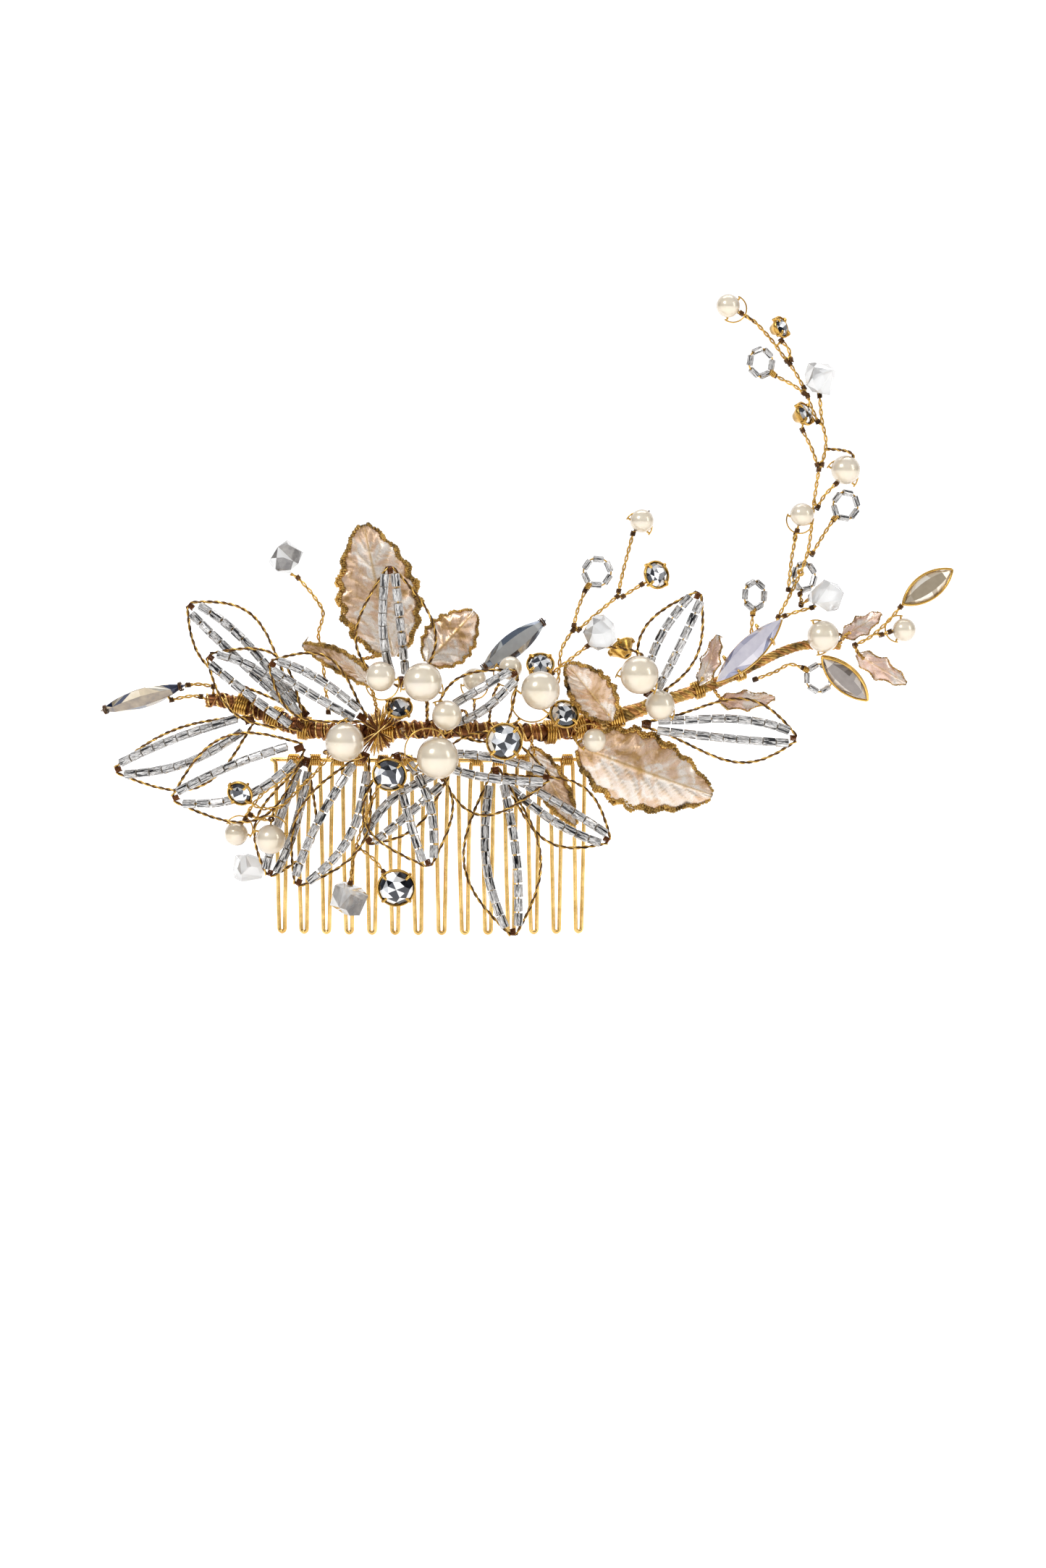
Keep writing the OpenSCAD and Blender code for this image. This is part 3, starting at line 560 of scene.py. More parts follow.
def toothLine(middle, along):
    spots = []
    for k in range(9):                                    # left half arch, from its top down
        angle = math.radians(90) + (legLean - math.radians(90)) * k / 8
        spots.append((-halfPitch + comb["archRadius"] * math.cos(angle),
                      comb["archRadius"] * math.sin(angle)))
    for k in range(13):                                   # rounded tip
        angle = math.pi + legLean + (math.pi - 2 * legLean) * k / 12
        spots.append((comb["tipRadius"] * math.cos(angle), tipZ + comb["tipRadius"] * math.sin(angle)))
    spots += [(-x, z) for x, z in reversed(spots[:9])]
    filled = []
    # long legs get points in between, with a slight waver
    for (x0, z0), (x1, z1) in zip(spots, spots[1:]):
        count = max(1, int(math.hypot(x1 - x0, z1 - z0) / (2.0 * mm)))
        for j in range(count):
            t = j / count
            filled.append((x0 + (x1 - x0) * t, z0 + (z1 - z0) * t, math.sin(math.pi * t) if count > 3
                           else 0.0))
    filled.append((*spots[-1], 0.0))
    waver = rng.uniform(-0.12, 0.12) * mm
    return [middle + along * (x + waver * w) + np.array([0, 0, z]) for x, z, w in filled]


bm = bmesh.new()
wiresInto(bm, [(toothLine(middle, along), wireR) for middle, along, _ in toothPlaces], 0, comb["sides"])
finishPiece("combTeeth", bm, [combGold], ["comb_teeth"])

bm = bmesh.new()
spineLow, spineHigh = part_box("comb_spine")
centreY = []
for middle, along, width in toothPlaces:
    inward = np.cross(along, [0, 0, 1])
    inward = inward if inward[1] > 0 else -inward
    centreY.append((middle, inward))
spineR = (spineHigh[2] - spineLow[2]) / 2
spineSetBack = wireR + spineR + 0.02 * mm
spineZ = (spineHigh[2] + spineLow[2]) / 2
ends = []
for (middle, along, width), side in ((toothPlaces[0], -1), (toothPlaces[-1], 1)):
    ends.append(middle + along * halfPitch * side)
spineKnots = [middle + inward * spineSetBack + np.array([0, 0, spineZ]) for middle, inward in centreY]
firstEnd = ends[0] + centreY[0][1] * spineSetBack + np.array([0, 0, spineZ])
lastEnd = ends[1] + centreY[-1][1] * spineSetBack + np.array([0, 0, spineZ])
spineLine = smoothLine([firstEnd, *spineKnots, lastEnd], 1.0 * mm)
wiresInto(bm, [(spineLine, spineR)], 0, 12)
finishPiece("combSpine", bm, [combGold], ["comb_spine"])

bm = bmesh.new()
lashWires = []
for points, links in looseParts("comb_lashing"):
    middle, a, b, axis = mainAxes(points)
    axis = axis if axis[0] > 0 else -axis
    low, high = spanAlong(points - middle, a)
    loopR = (high - low) / 2 - comb["lashWire"]
    line = []
    count = comb["lashTurns"] * 16
    for k in range(count + 1):
        angle = 2 * math.pi * k / 16
        shift = (k / count - 0.5) * comb["lashPitch"] * comb["lashTurns"]
        squeeze = loopR * (1 + rng.uniform(-0.01, 0.01))
        line.append(middle + a * squeeze * math.cos(angle) + b * squeeze * math.sin(angle) + axis * shift)
    lashWires.append((line, comb["lashWire"]))
wiresInto(bm, lashWires, 0, 8)
finishPiece("combLashing", bm, [goldWire], ["comb_lashing"])
print("comb done")


vine = {"pitch": 7.5 * mm, "step": 0.7 * mm, "goldFrom": 0.027,
        "fineStep": 0.14 * mm, "winds": ((1.5 * mm, 0.22 * mm, 1.0), (2.3 * mm, 0.2 * mm, 1.5),
                                         (2.1 * mm, 0.19 * mm, 1.3),
                                         (4.6 * mm, 0.19 * mm, 0.3), (-5.2 * mm, 0.16 * mm, 0.6),
                                         (-3.4 * mm, 0.17 * mm, 0.4)),
        "ringTurns": 4, "ringWire": 0.2 * mm, "starLoops": 5, "starWire": 0.13 * mm}
vineLine, vineRadii = centreline(looseParts("vine_core")[0])
if vineLine[0][0] > vineLine[-1][0]:
    vineLine, vineRadii = vineLine[::-1], vineRadii[::-1]
vinePath, vineSizes = smoothLine(vineLine, vine["step"], vineRadii)


def vineBundle(bm, path, sizes, strands, pitch, shareR, materialCount):
    wobble = [rng.uniform(0, 6.28) for _ in range(strands)]
    for k in range(strands):
        line = helixLine(path, [s * (1 - shareR) for s in sizes], pitch, 2 * math.pi * k / strands)
        radii = [s * shareR * (1 + 0.12 * math.sin(i * 0.9 + wobble[k])) * 0.96 for i, s in enumerate(sizes)]
        wiresInto(bm, [(line, radii)], k % materialCount, 8)


goldStart = next(i for i, p in enumerate(vinePath) if p[0] > vine["goldFrom"])
bm = bmesh.new()
finePath, fineSizes = smoothLine(vinePath[:goldStart + 3], vine["fineStep"], vineSizes[:goldStart + 3])
for number, (pitch, wire, reach) in enumerate(vine["winds"]):
    swell, drift = 0.0, []
    for _ in fineSizes:
        swell = max(-1.0, min(1.0, swell + rng.uniform(-0.16, 0.16)))
        drift.append(swell * 0.1 * mm)
    line = helixLine(finePath, [s - wire * reach + d for s, d in zip(fineSizes, drift)], pitch, number * 0.9)
    wiresInto(bm, [(line, wire)], number % 3, 5)
wiresInto(bm, [(vinePath[:goldStart + 3], [s * 0.8 for s in vineSizes[:goldStart + 3]])], 1, 12)
finishPiece("vineWrapped", bm, [combGold, redWire, copperWire], ["vine_core"])
bm = bmesh.new()
vineBundle(bm, vinePath[goldStart:], vineSizes[goldStart:], 5, vine["pitch"] * 0.6, 0.42, 2)
wiresInto(bm, [(vinePath[goldStart:], [s * 0.5 for s in vineSizes[goldStart:]])], 1, 8)
finishPiece("vineTwisted", bm, [granuleGold, copperWire], [])

bm = bmesh.new()
wrapParts = looseParts("vine_wraps")
ringFacts = []
for points, links in wrapParts:
    middle, a, b, axis = mainAxes(points)
    low, high = spanAlong(points - middle, a)
    ringFacts.append((middle, a, b, axis, (high - low) / 2))
ringFacts.sort(key=lambda fact: fact[4])
plainRings, starRings = [], []
for fact in ringFacts:
    near = [other for other in ringFacts if np.linalg.norm(other[0] - fact[0]) < 0.1 * mm]
    (starRings if len(near) > 2 else plainRings).append(fact)
wires = {0: [], 1: [], 2: []}
for middle, a, b, axis, outer in plainRings:
    loopR = outer - vine["ringWire"]
    turns = vine["ringTurns"] + rng.choice([0, 1, 2])
    line = []
    for k in range(turns * 16 + 1):
        angle = 2 * math.pi * k / 16
        shift = (k / (turns * 16) - 0.5) * turns * vine["ringWire"] * 2.1
        r = loopR * (1 + rng.uniform(-0.02, 0.02))
        line.append(middle + a * r * math.cos(angle) + b * r * math.sin(angle) + axis * shift)
    wires[rng.choice([0, 0, 2])].append((line, vine["ringWire"]))
for number, (middle, a, b, axis, outer) in enumerate(starRings):
    for k in range(vine["starLoops"]):
        lean = math.radians(-12 + 24 * k / (vine["starLoops"] - 1) + rng.uniform(-3, 3))
        tilted = np.array(Matrix.Rotation(lean, 3, Vector((0, 1, 0)))) @ axis
        u = np.cross(tilted, [0, 1, 0])
        u = u / np.linalg.norm(u)
        v = np.cross(tilted, u)
        r = (outer - vine["starWire"]) * rng.uniform(0.8, 1.0)
        line = []
        for j in range(33):
            angle = 2 * math.pi * j / 32
            pinch = 0.8 + 0.2 * abs(math.cos(angle))
            line.append(middle + u * r * math.cos(angle) + v * r * pinch * math.sin(angle))
        wires[rng.choice([0, 1, 2])].append((line, vine["starWire"]))
for index, group in wires.items():
    if group:
        wiresInto(bm, group, index, 6)
finishPiece("vineWraps", bm, [goldWire, redWire, combGold], ["vine_wraps"])
print("vine done")


petal = {"strand": 0.145 * mm, "twist": 2.5 * mm, "step": 0.3 * mm, "thread": 0.13 * mm,
         "knotWire": 0.13 * mm, "knotR": 0.4 * mm, "knotTurns": 4, "beadSides": 12, "beadRim": 0.07 * mm,
         "beadStretch": 0.12 * mm}
bead = {"boreShare": 0.56}


def coil(middle, axis, radius, wire, turns, perTurn=12, spacing=2.05):
    axis = np.array(axis) / np.linalg.norm(axis)
    u = np.cross(axis, [0.3, 1, 0.1])
    u = u / np.linalg.norm(u)
    v = np.cross(axis, u)
    count = turns * perTurn
    return [np.array(middle) + (u * math.cos(2 * math.pi * k / perTurn) + v
                                * math.sin(2 * math.pi * k / perTurn)) * radius
            + axis * (k / count - 0.5) * turns * wire * spacing for k in range(count + 1)]


def twistedPair(line, radius, wire, pitch, step, phase=0.0):
    fine = smoothLine(line, step)
    return [(helixLine(fine, radius, pitch, phase), wire),
            (helixLine(fine, radius, pitch, phase + math.pi), wire)]


def nearestOnVine(point):
    return min(vinePath, key=lambda p: np.linalg.norm(p - point))


def makePetalWires(number):
    node = f"petal_frame_{number}"
    bm = bmesh.new()
    outlines, threads = [], []
    for part in looseParts(node):
        line, radii = centreline(part)
        (outlines if np.mean(radii) > 0.22 * mm else threads).append(line)
    goldStrands, darkStrands = [], []
    for i, line in enumerate(outlines):
        first, second = twistedPair(line, petal["strand"] * 0.98, petal["strand"], petal["twist"],
                                    petal["step"], i * 1.3)
        goldStrands.append(first)
        darkStrands.append(second)
    goldStrands += [(smoothLine(line, 0.8 * mm), petal["thread"]) for line in threads]
    tips = [line[0] for line in outlines] + [line[-1] for line in outlines]
    tips.sort(key=lambda p: np.linalg.norm(p - nearestOnVine(p)))
    base, tip = (tips[0] + tips[1]) / 2, (tips[2] + tips[3]) / 2
    along = (tip - base) / np.linalg.norm(tip - base)
    wiresInto(bm, goldStrands, 0, 6)
    wiresInto(bm, darkStrands, 1, 6)
    knots = [(coil(tip - along * 0.5 * mm, along, petal["knotR"], petal["knotWire"], petal["knotTurns"]),
              petal["knotWire"]),
             (coil(base + along * 0.8 * mm, along, petal["knotR"] * 1.3, petal["knotWire"], 6),
              petal["knotWire"])]
    wiresInto(bm, knots, 2, 6)
    finishPiece(f"petalWires{number}", bm, [goldWire, darkWire, redWire], [node])


def bugleTemplate(length, radius, sides):
    bore, rim, half = radius * bead["boreShare"], petal["beadRim"], length / 2
    profile = [(bore, -half), (radius - rim, -half), (radius, -half + rim), (radius, half - rim),
               (radius - rim, half), (bore, half), (bore, -half)]
    bm = bmesh.new()
    verts = [bm.verts.new((r, 0, z)) for r, z in profile[:-1]]
    edges = [bm.edges.new((verts[i], verts[(i + 1) % len(verts)])) for i in range(len(verts))]
    bmesh.ops.spin(bm, geom=verts + edges, cent=(0, 0, 0), axis=(0, 0, 1), angle=2 * math.pi, steps=sides,
                   use_merge=True, use_duplicate=False)
    bmesh.ops.remove_doubles(bm, verts=bm.verts, dist=1e-6)
    bmesh.ops.recalc_face_normals(bm, faces=bm.faces)
    placeLayer = bm.verts.layers.float_vector.new("beadPlace")
    bm.verts.layers.float.new("beadSeed")
    rimLayer = bm.verts.layers.float.new("rim")
    for vert in bm.verts:
        x, y, z = vert.co
        r = math.hypot(x, y)
        vert[placeLayer] = Vector((x / r, y / r, z / length * 0.25))
        vert[rimLayer] = 0.0 if r > radius - rim / 2 else 1.0
    mesh = bpy.data.meshes.new("bugleTemplate")
    bm.to_mesh(mesh)
    bm.free()
    return mesh


def beadFacts(points):
    middle, axis, _, _ = mainAxes(points)
    low, high = spanAlong(points - middle, axis)
    across = points - middle
    across = across - np.outer(across @ axis, axis)
    return middle + axis * (low + high) / 2, axis, high - low, np.linalg.norm(across, axis=1).max()


def beadsInto(bm, facts, template):
    for middle, axis, _, _ in facts:
        turn = Vector((0, 0, 1)).rotation_difference(Vector(axis)).to_matrix().to_4x4()
        roll = Matrix.Rotation(rng.uniform(0, 6.28), 4, "Z")
        place = Matrix.Translation(Vector(middle)) @ turn @ roll
        count = len(bm.verts)
        bm.from_mesh(template)
        bm.verts.ensure_lookup_table()
        added = bm.verts[count:]
        bmesh.ops.transform(bm, matrix=place, verts=added)
        seedLayer = bm.verts.layers.float["beadSeed"]
        seed = rng.random()
        for vert in added:
            vert[seedLayer] = seed


allBeads = {i: [beadFacts(points) for points, _ in looseParts(f"petal_beads_{i}")] for i in range(1, 17)}
sample = allBeads[1][0]
bugleMesh = bugleTemplate(sample[2] + petal["beadStretch"], sample[3], petal["beadSides"])
for i in range(1, 17):
    makePetalWires(i)
    bm = bmesh.new()
    beadsInto(bm, allBeads[i], bugleMesh)
    finishPiece(f"petalGlass{i}", bm, [bugleGlass], [f"petal_beads_{i}"], smooth=False)
print("petals done")


pearl = {"steps": 40, "profileSteps": 18, "bailWire": 0.17 * mm, "tailWire": 0.15 * mm,
         "tailPoints": 60, "bailReach": 4.6 * mm, "tailNear": 1.6 * mm}


def sphereFit(points):
    # every corner of a pearl, its bore's rims included, lies on its sphere
    a = np.hstack([2 * points, np.ones((len(points), 1))])
    b = (points ** 2).sum(1)
    x, *_ = np.linalg.lstsq(a, b, rcond=None)
    centre = x[:3]
    return centre, math.sqrt(x[3] + centre @ centre)


bailFacts, tailLines = [], []
for points, links in looseParts("pearl_bails"):
    if len(points) < pearl["tailPoints"]:      # a tail, swept like the stems, has few points
        tailLines.append(centreline((points, links))[0])
        continue
    fromMiddle = np.linalg.norm(points - np.median(points, axis=0), axis=1)
    points = points[fromMiddle < pearl["bailReach"]]      # leaves out a tail that is joined to its bail
    middle, pin, second, normal = mainAxes(points)
    low, high = spanAlong(points - middle, pin)
    onPin = middle + pin * (low + high) / 2
    tail = second if (points - onPin).mean(0) @ second > 0 else -second
    bailFacts.append((onPin, pin, tail, normal, (high - low) / 2))


def bailOf(centre):
    return min(bailFacts, key=lambda fact: np.linalg.norm(fact[0] - centre))


def pearlInto(bm, centre, radius, pin):
    bore = 0.23 * mm
    first = math.asin(bore / radius)
    arcPoints = []
    for k in range(pearl["profileSteps"] + 1):
        angle = first + (math.pi - 2 * first) * k / pearl["profileSteps"]
        arcPoints.append((radius * math.sin(angle), radius * math.cos(angle)))
    turnedInto(bm, arcPoints, centre, pin, pearl["steps"])


turningPearls = []
for joint in frame["joints"]:
    number = joint["child"].split("_")[1]
    node = f"turning_pearl_{number}"
    centre, radius = sphereFit(looseParts(node)[0][0])
    pin = np.array(joint["axis"], float)
    turningPearls.append((centre, radius))
    bm = bmesh.new()
    pearlInto(bm, centre, radius, pin)
    finishPiece(f"turningPearl{number}", bm, [pearlNacre], [node], joint["child"])

bm = bmesh.new()
smallPearls = []
for points, links in looseParts("small_pearls"):
    centre, radius = sphereFit(points)
    smallPearls.append((centre, radius))
    pearlInto(bm, centre, radius, bailOf(centre)[1])
finishPiece("smallPearls", bm, [pearlNacre], ["small_pearls"])

stemNodes = ["tall_stems", "centre_stems", "lower_stems"]
stemLines = {node: [centreline(part)[0] for part in looseParts(node)] for node in stemNodes}
anchors = [p for lines in stemLines.values() for line in lines for p in smoothLine(line, 1.0 * mm)]
anchors += [p for p in vinePath]


def bendTo(start, direction, end, reach):
    # a curve that leaves along a direction and arrives at a point
    control = start + direction * reach
    return [start * (1 - t) ** 2 + control * 2 * t * (1 - t) + end * t * t for t in np.linspace(0, 1, 9)]


bm = bmesh.new()
singles, tails = [], []
for onPin, pin, tail, normal, reach in bailFacts:
    loopR = reach - pearl["bailWire"]
    singles.append(([onPin - pin * loopR, onPin, onPin + pin * loopR], pearl["bailWire"]))
    for side in (-1, 1):
        line = []
        for k in range(25):
            angle = math.radians(-8 + 196 * k / 24)
            bow = math.sin(math.radians(180 * k / 24)) * 0.16 * mm * side
            line.append(onPin + pin * loopR * math.cos(angle) + tail * loopR * math.sin(angle) + normal * bow)
        singles.append((line, pearl["bailWire"] * 0.72))
    leave = onPin + tail * (loopR + 0.1 * mm)
    bothWays = [way for line in tailLines for way in (line, line[::-1])]
    own = [way for way in bothWays if np.linalg.norm(way[0] - leave) < pearl["tailNear"]]
    if own:
        line = min(own, key=lambda way: np.linalg.norm(way[0] - leave))
        tails += twistedPair([leave, *line], 0.15 * mm, pearl["tailWire"], 1.9 * mm, 0.25 * mm)
        continue
    target = min(anchors, key=lambda p: np.linalg.norm(p - leave - tail * 1.5 * mm))
    if np.linalg.norm(target - leave) > 1.0 * mm:
        path = bendTo(leave, tail, target, min(3.0 * mm, np.linalg.norm(target - leave) * 0.5))
        tails += twistedPair(path, 0.15 * mm, pearl["tailWire"], 1.9 * mm, 0.25 * mm)
wiresInto(bm, singles, 0, 8)
wiresInto(bm, tails[0::2], 0, 6)
wiresInto(bm, tails[1::2], 1, 6)
finishPiece("pearlBails", bm, [goldWire, darkWire], ["pearl_bails"])
print("pearls done")


leaf = {"rows": 88, "columns": 28, "thickness": 0.5 * mm, "veins": 9, "veinHeight": 0.16 * mm,
        "granule": 0.4 * mm}


def leafGrid(points):
    # the leaf's rows hold five columns on two layers, and each row has one place along the leaf
    middle, along, across, normal = mainAxes(points)
    if along @ (middle - nearestOnVine(middle)) < 0:
        along = -along
    for _ in range(2):
        order = np.argsort(points @ along)
        rows = [points[order[i:i + 10]] for i in range(0, len(points), 10)]
        along = rows[-1].mean(0) - rows[0].mean(0)
        length = np.linalg.norm(along)
        along = along / length
    across = across - along * (across @ along)
    across = across / np.linalg.norm(across)
    normal = np.cross(along, across)
    if normal[1] > 0:
        normal, across = -normal, -across
    grid = []
    for row in rows:
        order = np.argsort(row @ across)
        pairs = [row[order[i:i + 2]] for i in range(0, 10, 2)]
        grid.append([(pair[np.argmin(pair @ normal)] + pair[np.argmax(pair @ normal)]) / 2 for pair in pairs])
    return np.array(grid), along, across, normal, length


def blendRow(values, t):
    last = len(values) - 1
    x = min(max(t, 0.0), 1.0) * last
    i = min(int(x), last - 1)
    f = x - i
    p0, p1, p2, p3 = values[max(i - 1, 0)], values[i], values[i + 1], values[min(i + 2, last)]
    return 0.5 * (2 * p1 + (p2 - p0) * f + (2 * p0 - 5 * p1 + 4 * p2 - p3) * f * f
                  + (3 * p1 - p0 - 3 * p2 + p3) * f ** 3)


def leafSpot(grid, u, v):
    rowsAt = [blendRow([row[j] for row in grid], v) for j in range(5)]
    return blendRow(rowsAt, (u + 1) / 2)


def veinHeight(u, v, count):
    # side veins leave the middle vein and lean towards the tip
    main = math.exp(-(u / 0.05) ** 2)
    phase = (v - 0.32 * abs(u)) * count
    side = math.exp(-((phase - round(phase)) / 0.11) ** 2) * min(1.0, 4 * (1 - abs(u))) * 0.65
    phase2 = (v + 0.5 * abs(u)) * count * 2.3
    fineVein = math.exp(-((phase2 - round(phase2)) / 0.14) ** 2) * 0.2
    return max(main, side, fineVein)


def leafInto(bm, grid, normal, rows, columns, veins, relief):
    veinLayer = bm.verts.layers.float.get("vein") or bm.verts.layers.float.new("vein")
    rimLayer = bm.verts.layers.float.get("rimShade") or bm.verts.layers.float.new("rimShade")
    made = bmesh.ops.create_grid(bm, x_segments=columns, y_segments=rows, size=1.0)
    wave = rng.uniform(0, 6.28)
    for vert in made["verts"]:
        u, y, _ = vert.co
        v = (y + 1) / 2
        spot = leafSpot(grid, u, v)
        height = veinHeight(u, v, veins)
        ripple = 0.35 * mm * math.sin(9 * v + wave + 2 * u) * abs(u) ** 1.5
        vert.co = Vector(spot + normal * (height * relief + ripple * 0.6))
        vert[veinLayer] = height
        rimAt = max((abs(u) - 0.86) / 0.14, (v - 0.97) / 0.03, 0.0)
        vert[rimLayer] = min(1.0, rimAt * 1.3)
    faces = list({f for v in made["verts"] for f in v.link_faces})
    bmesh.ops.recalc_face_normals(bm, faces=faces)
    if sum((f.normal for f in faces), Vector()).dot(Vector(normal)) < 0:
        bmesh.ops.reverse_faces(bm, faces=faces)
    bmesh.ops.solidify(bm, geom=faces, thickness=leaf["thickness"])


def granulesInto(bm, grid, normal, size, rowsOfGrains, materialIndex):
    # gold grains along both edges of the leaf
    template = bpy.data.meshes.new("grain")
    grain = bmesh.new()
    bmesh.ops.create_icosphere(grain, subdivisions=1, radius=1.0)
    grain.to_mesh(template)
    grain.free()
    for side in (-1, 1):
        edge = [leafSpot(grid, side, k / 120) for k in range(121)]
        inner = [leafSpot(grid, side * 0.9, k / 120) for k in range(121)]
        travelled = 0.0
        for k in range(120):
            travelled += np.linalg.norm(edge[k + 1] - edge[k])
            if travelled < size * 0.85:
                continue
            travelled = 0.0
            for ringNumber in range(rowsOfGrains):
                share = ringNumber * 0.75 + rng.uniform(-0.2, 0.25)
                spot = edge[k] + (inner[k] - edge[k]) * share
                spot = spot + normal * rng.uniform(0.0, 0.3) * mm
                r = size * rng.uniform(0.55, 1.05)
                before = set(bm.faces)
                count = len(bm.verts)
                bm.from_mesh(template)
                bm.verts.ensure_lookup_table()
                stretch = Matrix.Diagonal((r * rng.uniform(0.8, 1.2), r * rng.uniform(0.8, 1.2),
                                           r * rng.uniform(0.8, 1.2), 1))
                turn = Matrix.Rotation(rng.uniform(0, 6.28), 4,
                                       Vector((rng.random(), rng.random(), rng.random() + 0.1)))
                bmesh.ops.transform(bm, matrix=Matrix.Translation(Vector(spot)) @ turn @ stretch,
                                    verts=bm.verts[count:])
                bm.faces.ensure_lookup_table()
                for face in bm.faces[len(before):]:
                    face.material_index = materialIndex
    bpy.data.meshes.remove(template)


leafStalks = []
for number in range(1, 7):
    node = f"gold_leaf_{number}"
    grid, along, across, normal, length = leafGrid(looseParts(node)[0][0])
    bm = bmesh.new()
    big = length > 12 * mm
    leafInto(bm, grid, normal, leaf["rows"] if big else 50, leaf["columns"] if big else 20,
             leaf["veins"] if big else 6, leaf["veinHeight"])
    granulesInto(bm, grid, normal, leaf["granule"] if big else leaf["granule"] * 0.75, 3 if big else 2, 1)
    finishPiece(f"goldLeaf{number}", bm, [blushLeaf, granuleGold], [node])
    leafStalks.append((grid[0].mean(0), -along))

bm = bmesh.new()
for points, links in looseParts("small_leaves"):
    grid, along, across, normal, length = leafGrid(points)
    leafInto(bm, grid, normal, 44, 16, 4, leaf["veinHeight"] * 0.7)
    granulesInto(bm, grid, normal, leaf["granule"] * 0.42, 1, 1)
    leafStalks.append((grid[0].mean(0), -along))
finishPiece("smallLeaves", bm, [pinkLeaf, granuleGold], ["small_leaves"])
print("leaves done")


stone = {"rimWall": 0.25 * mm, "claw": 0.3 * mm, "cupSteps": 32}


def stoneFrame(points):
    # the axis of a revolved stone is its smallest spread, with the point of the stone behind
    middle, _, _, axis = mainAxes(points)
    low, high = spanAlong(points - middle, axis)
    if abs(low) < abs(high):
        axis, low, high = -axis, -high, -low
    across = points - middle
    across = across - np.outer(across @ axis, axis)
    radius = np.linalg.norm(across, axis=1).max()
    centre = middle + axis * (high - 0.4 * radius)
    u = np.cross(axis, [0, 0, 1])
    u = u / np.linalg.norm(u)
    return centre, axis, u, np.cross(axis, u), radius


def ringPoints(centre, axis, u, v, radius, height, count, turn=0.0):
    return [centre + axis * height + (u * math.cos(2 * math.pi * k / count + turn)
                                      + v * math.sin(2 * math.pi * k / count + turn)) * radius
            for k in range(count)]


def paintFacetReflections(bm, faces, centre, u, v):
    # painted reflections on the facets: wedges round the stone alternate dark and bright, with a random share
    reflectionLevel = bm.faces.layers.float["paintedFacetReflection"]
    for face in byPlace(faces):
        offset = np.array(face.calc_center_median()) - centre
        angle = math.atan2(offset @ v, offset @ u)
        wedge = int((angle + math.pi) / (math.pi / 8)) % 2
        value = 0.12 + 0.62 * wedge + rng.uniform(-0.12, 0.26)
        face[reflectionLevel] = min(1.0, max(0.0, value))


def brilliantInto(bm, centre, axis, u, v, radius):
    # a round brilliant: table, star and kite facets, girdle, long pavilion facets and a point
    r = radius
    start = set(bm.faces)
    points = ringPoints(centre, axis, u, v, r * 0.52, r * 0.4, 8, math.pi / 8)
    points += ringPoints(centre, axis, u, v, r * 0.8, r * 0.24, 8)
    points += ringPoints(centre, axis, u, v, r, 0.03 * r, 16, math.pi / 16)
    points += ringPoints(centre, axis, u, v, r, -0.03 * r, 16, math.pi / 16)
    points += ringPoints(centre, axis, u, v, r * 0.5, -0.42 * r, 8, math.pi / 8)
    points += [centre - axis * r * 0.75]
    faces = hullInto(bm, points, 0, 1.0)
    table = max(faces, key=lambda f: (np.array(f.calc_center_median()) - centre) @ axis)
    bmesh.ops.poke(bm, faces=[table])
    paintFacetReflections(bm, [f for f in bm.faces if f not in start], centre, u, v)


bm = bmesh.new()
bm.faces.layers.float.new("paintedFacetReflection")     # made before the faces are, because it renews them
stones = [stoneFrame(points) for points, _ in looseParts("round_stones")]
for centre, axis, u, v, radius in stones:
    brilliantInto(bm, centre, axis, u, v, radius)
finishPiece("roundStones", bm, [clearFoil], ["round_stones"], smooth=False)

bm = bmesh.new()
for centre, axis, u, v, radius in stones:
    inner, wall = radius + 0.15 * mm, stone["rimWall"]
    profile = [(0.5 * mm, -inner * 0.95 - wall), (0.8 * mm, -inner * 0.95 - wall),
               (inner * 0.72, -inner * 0.45 - wall),
               (inner + wall, -0.25 * mm), (inner + wall, 0.1 * mm), (inner + wall * 0.6, 0.2 * mm),
               (inner, 0.16 * mm),
               (inner, -0.2 * mm), (inner * 0.62, -inner * 0.45), (0.5 * mm, -inner * 0.9)]
    turnedInto(bm, profile, centre, axis, stone["cupSteps"])
    claws = []
    for k in range(4):
        angle = math.radians(45 + 90 * k)
        outward = u * math.cos(angle) + v * math.sin(angle)
        foot = centre + outward * (inner + wall) - axis * 0.5 * mm
        knee = centre + outward * (inner + wall * 0.9) + axis * 0.25 * mm
        tipSpot = centre + outward * (radius * 0.8) + axis * 0.45 * mm
        claws.append((smoothLine([foot, knee, (knee + tipSpot) / 2 + axis * 0.1 * mm, tipSpot], 0.15 * mm),
                      stone["claw"] * 0.85))
    wiresInto(bm, claws, 0, 8)
finishPiece("stoneCups", bm, [goldWire], ["stone_cups"])


def navetteFrame(points):
    middle, along, across, face = mainAxes(points)
    face = face if face[1] < 0 else -face
    low, high = spanAlong(points - middle, along)
    wide, wider = spanAlong(points - middle, across)
    thin, thick = spanAlong(points - middle, face)
    return middle, along, across, face, high - low, wider - wide, thick - thin


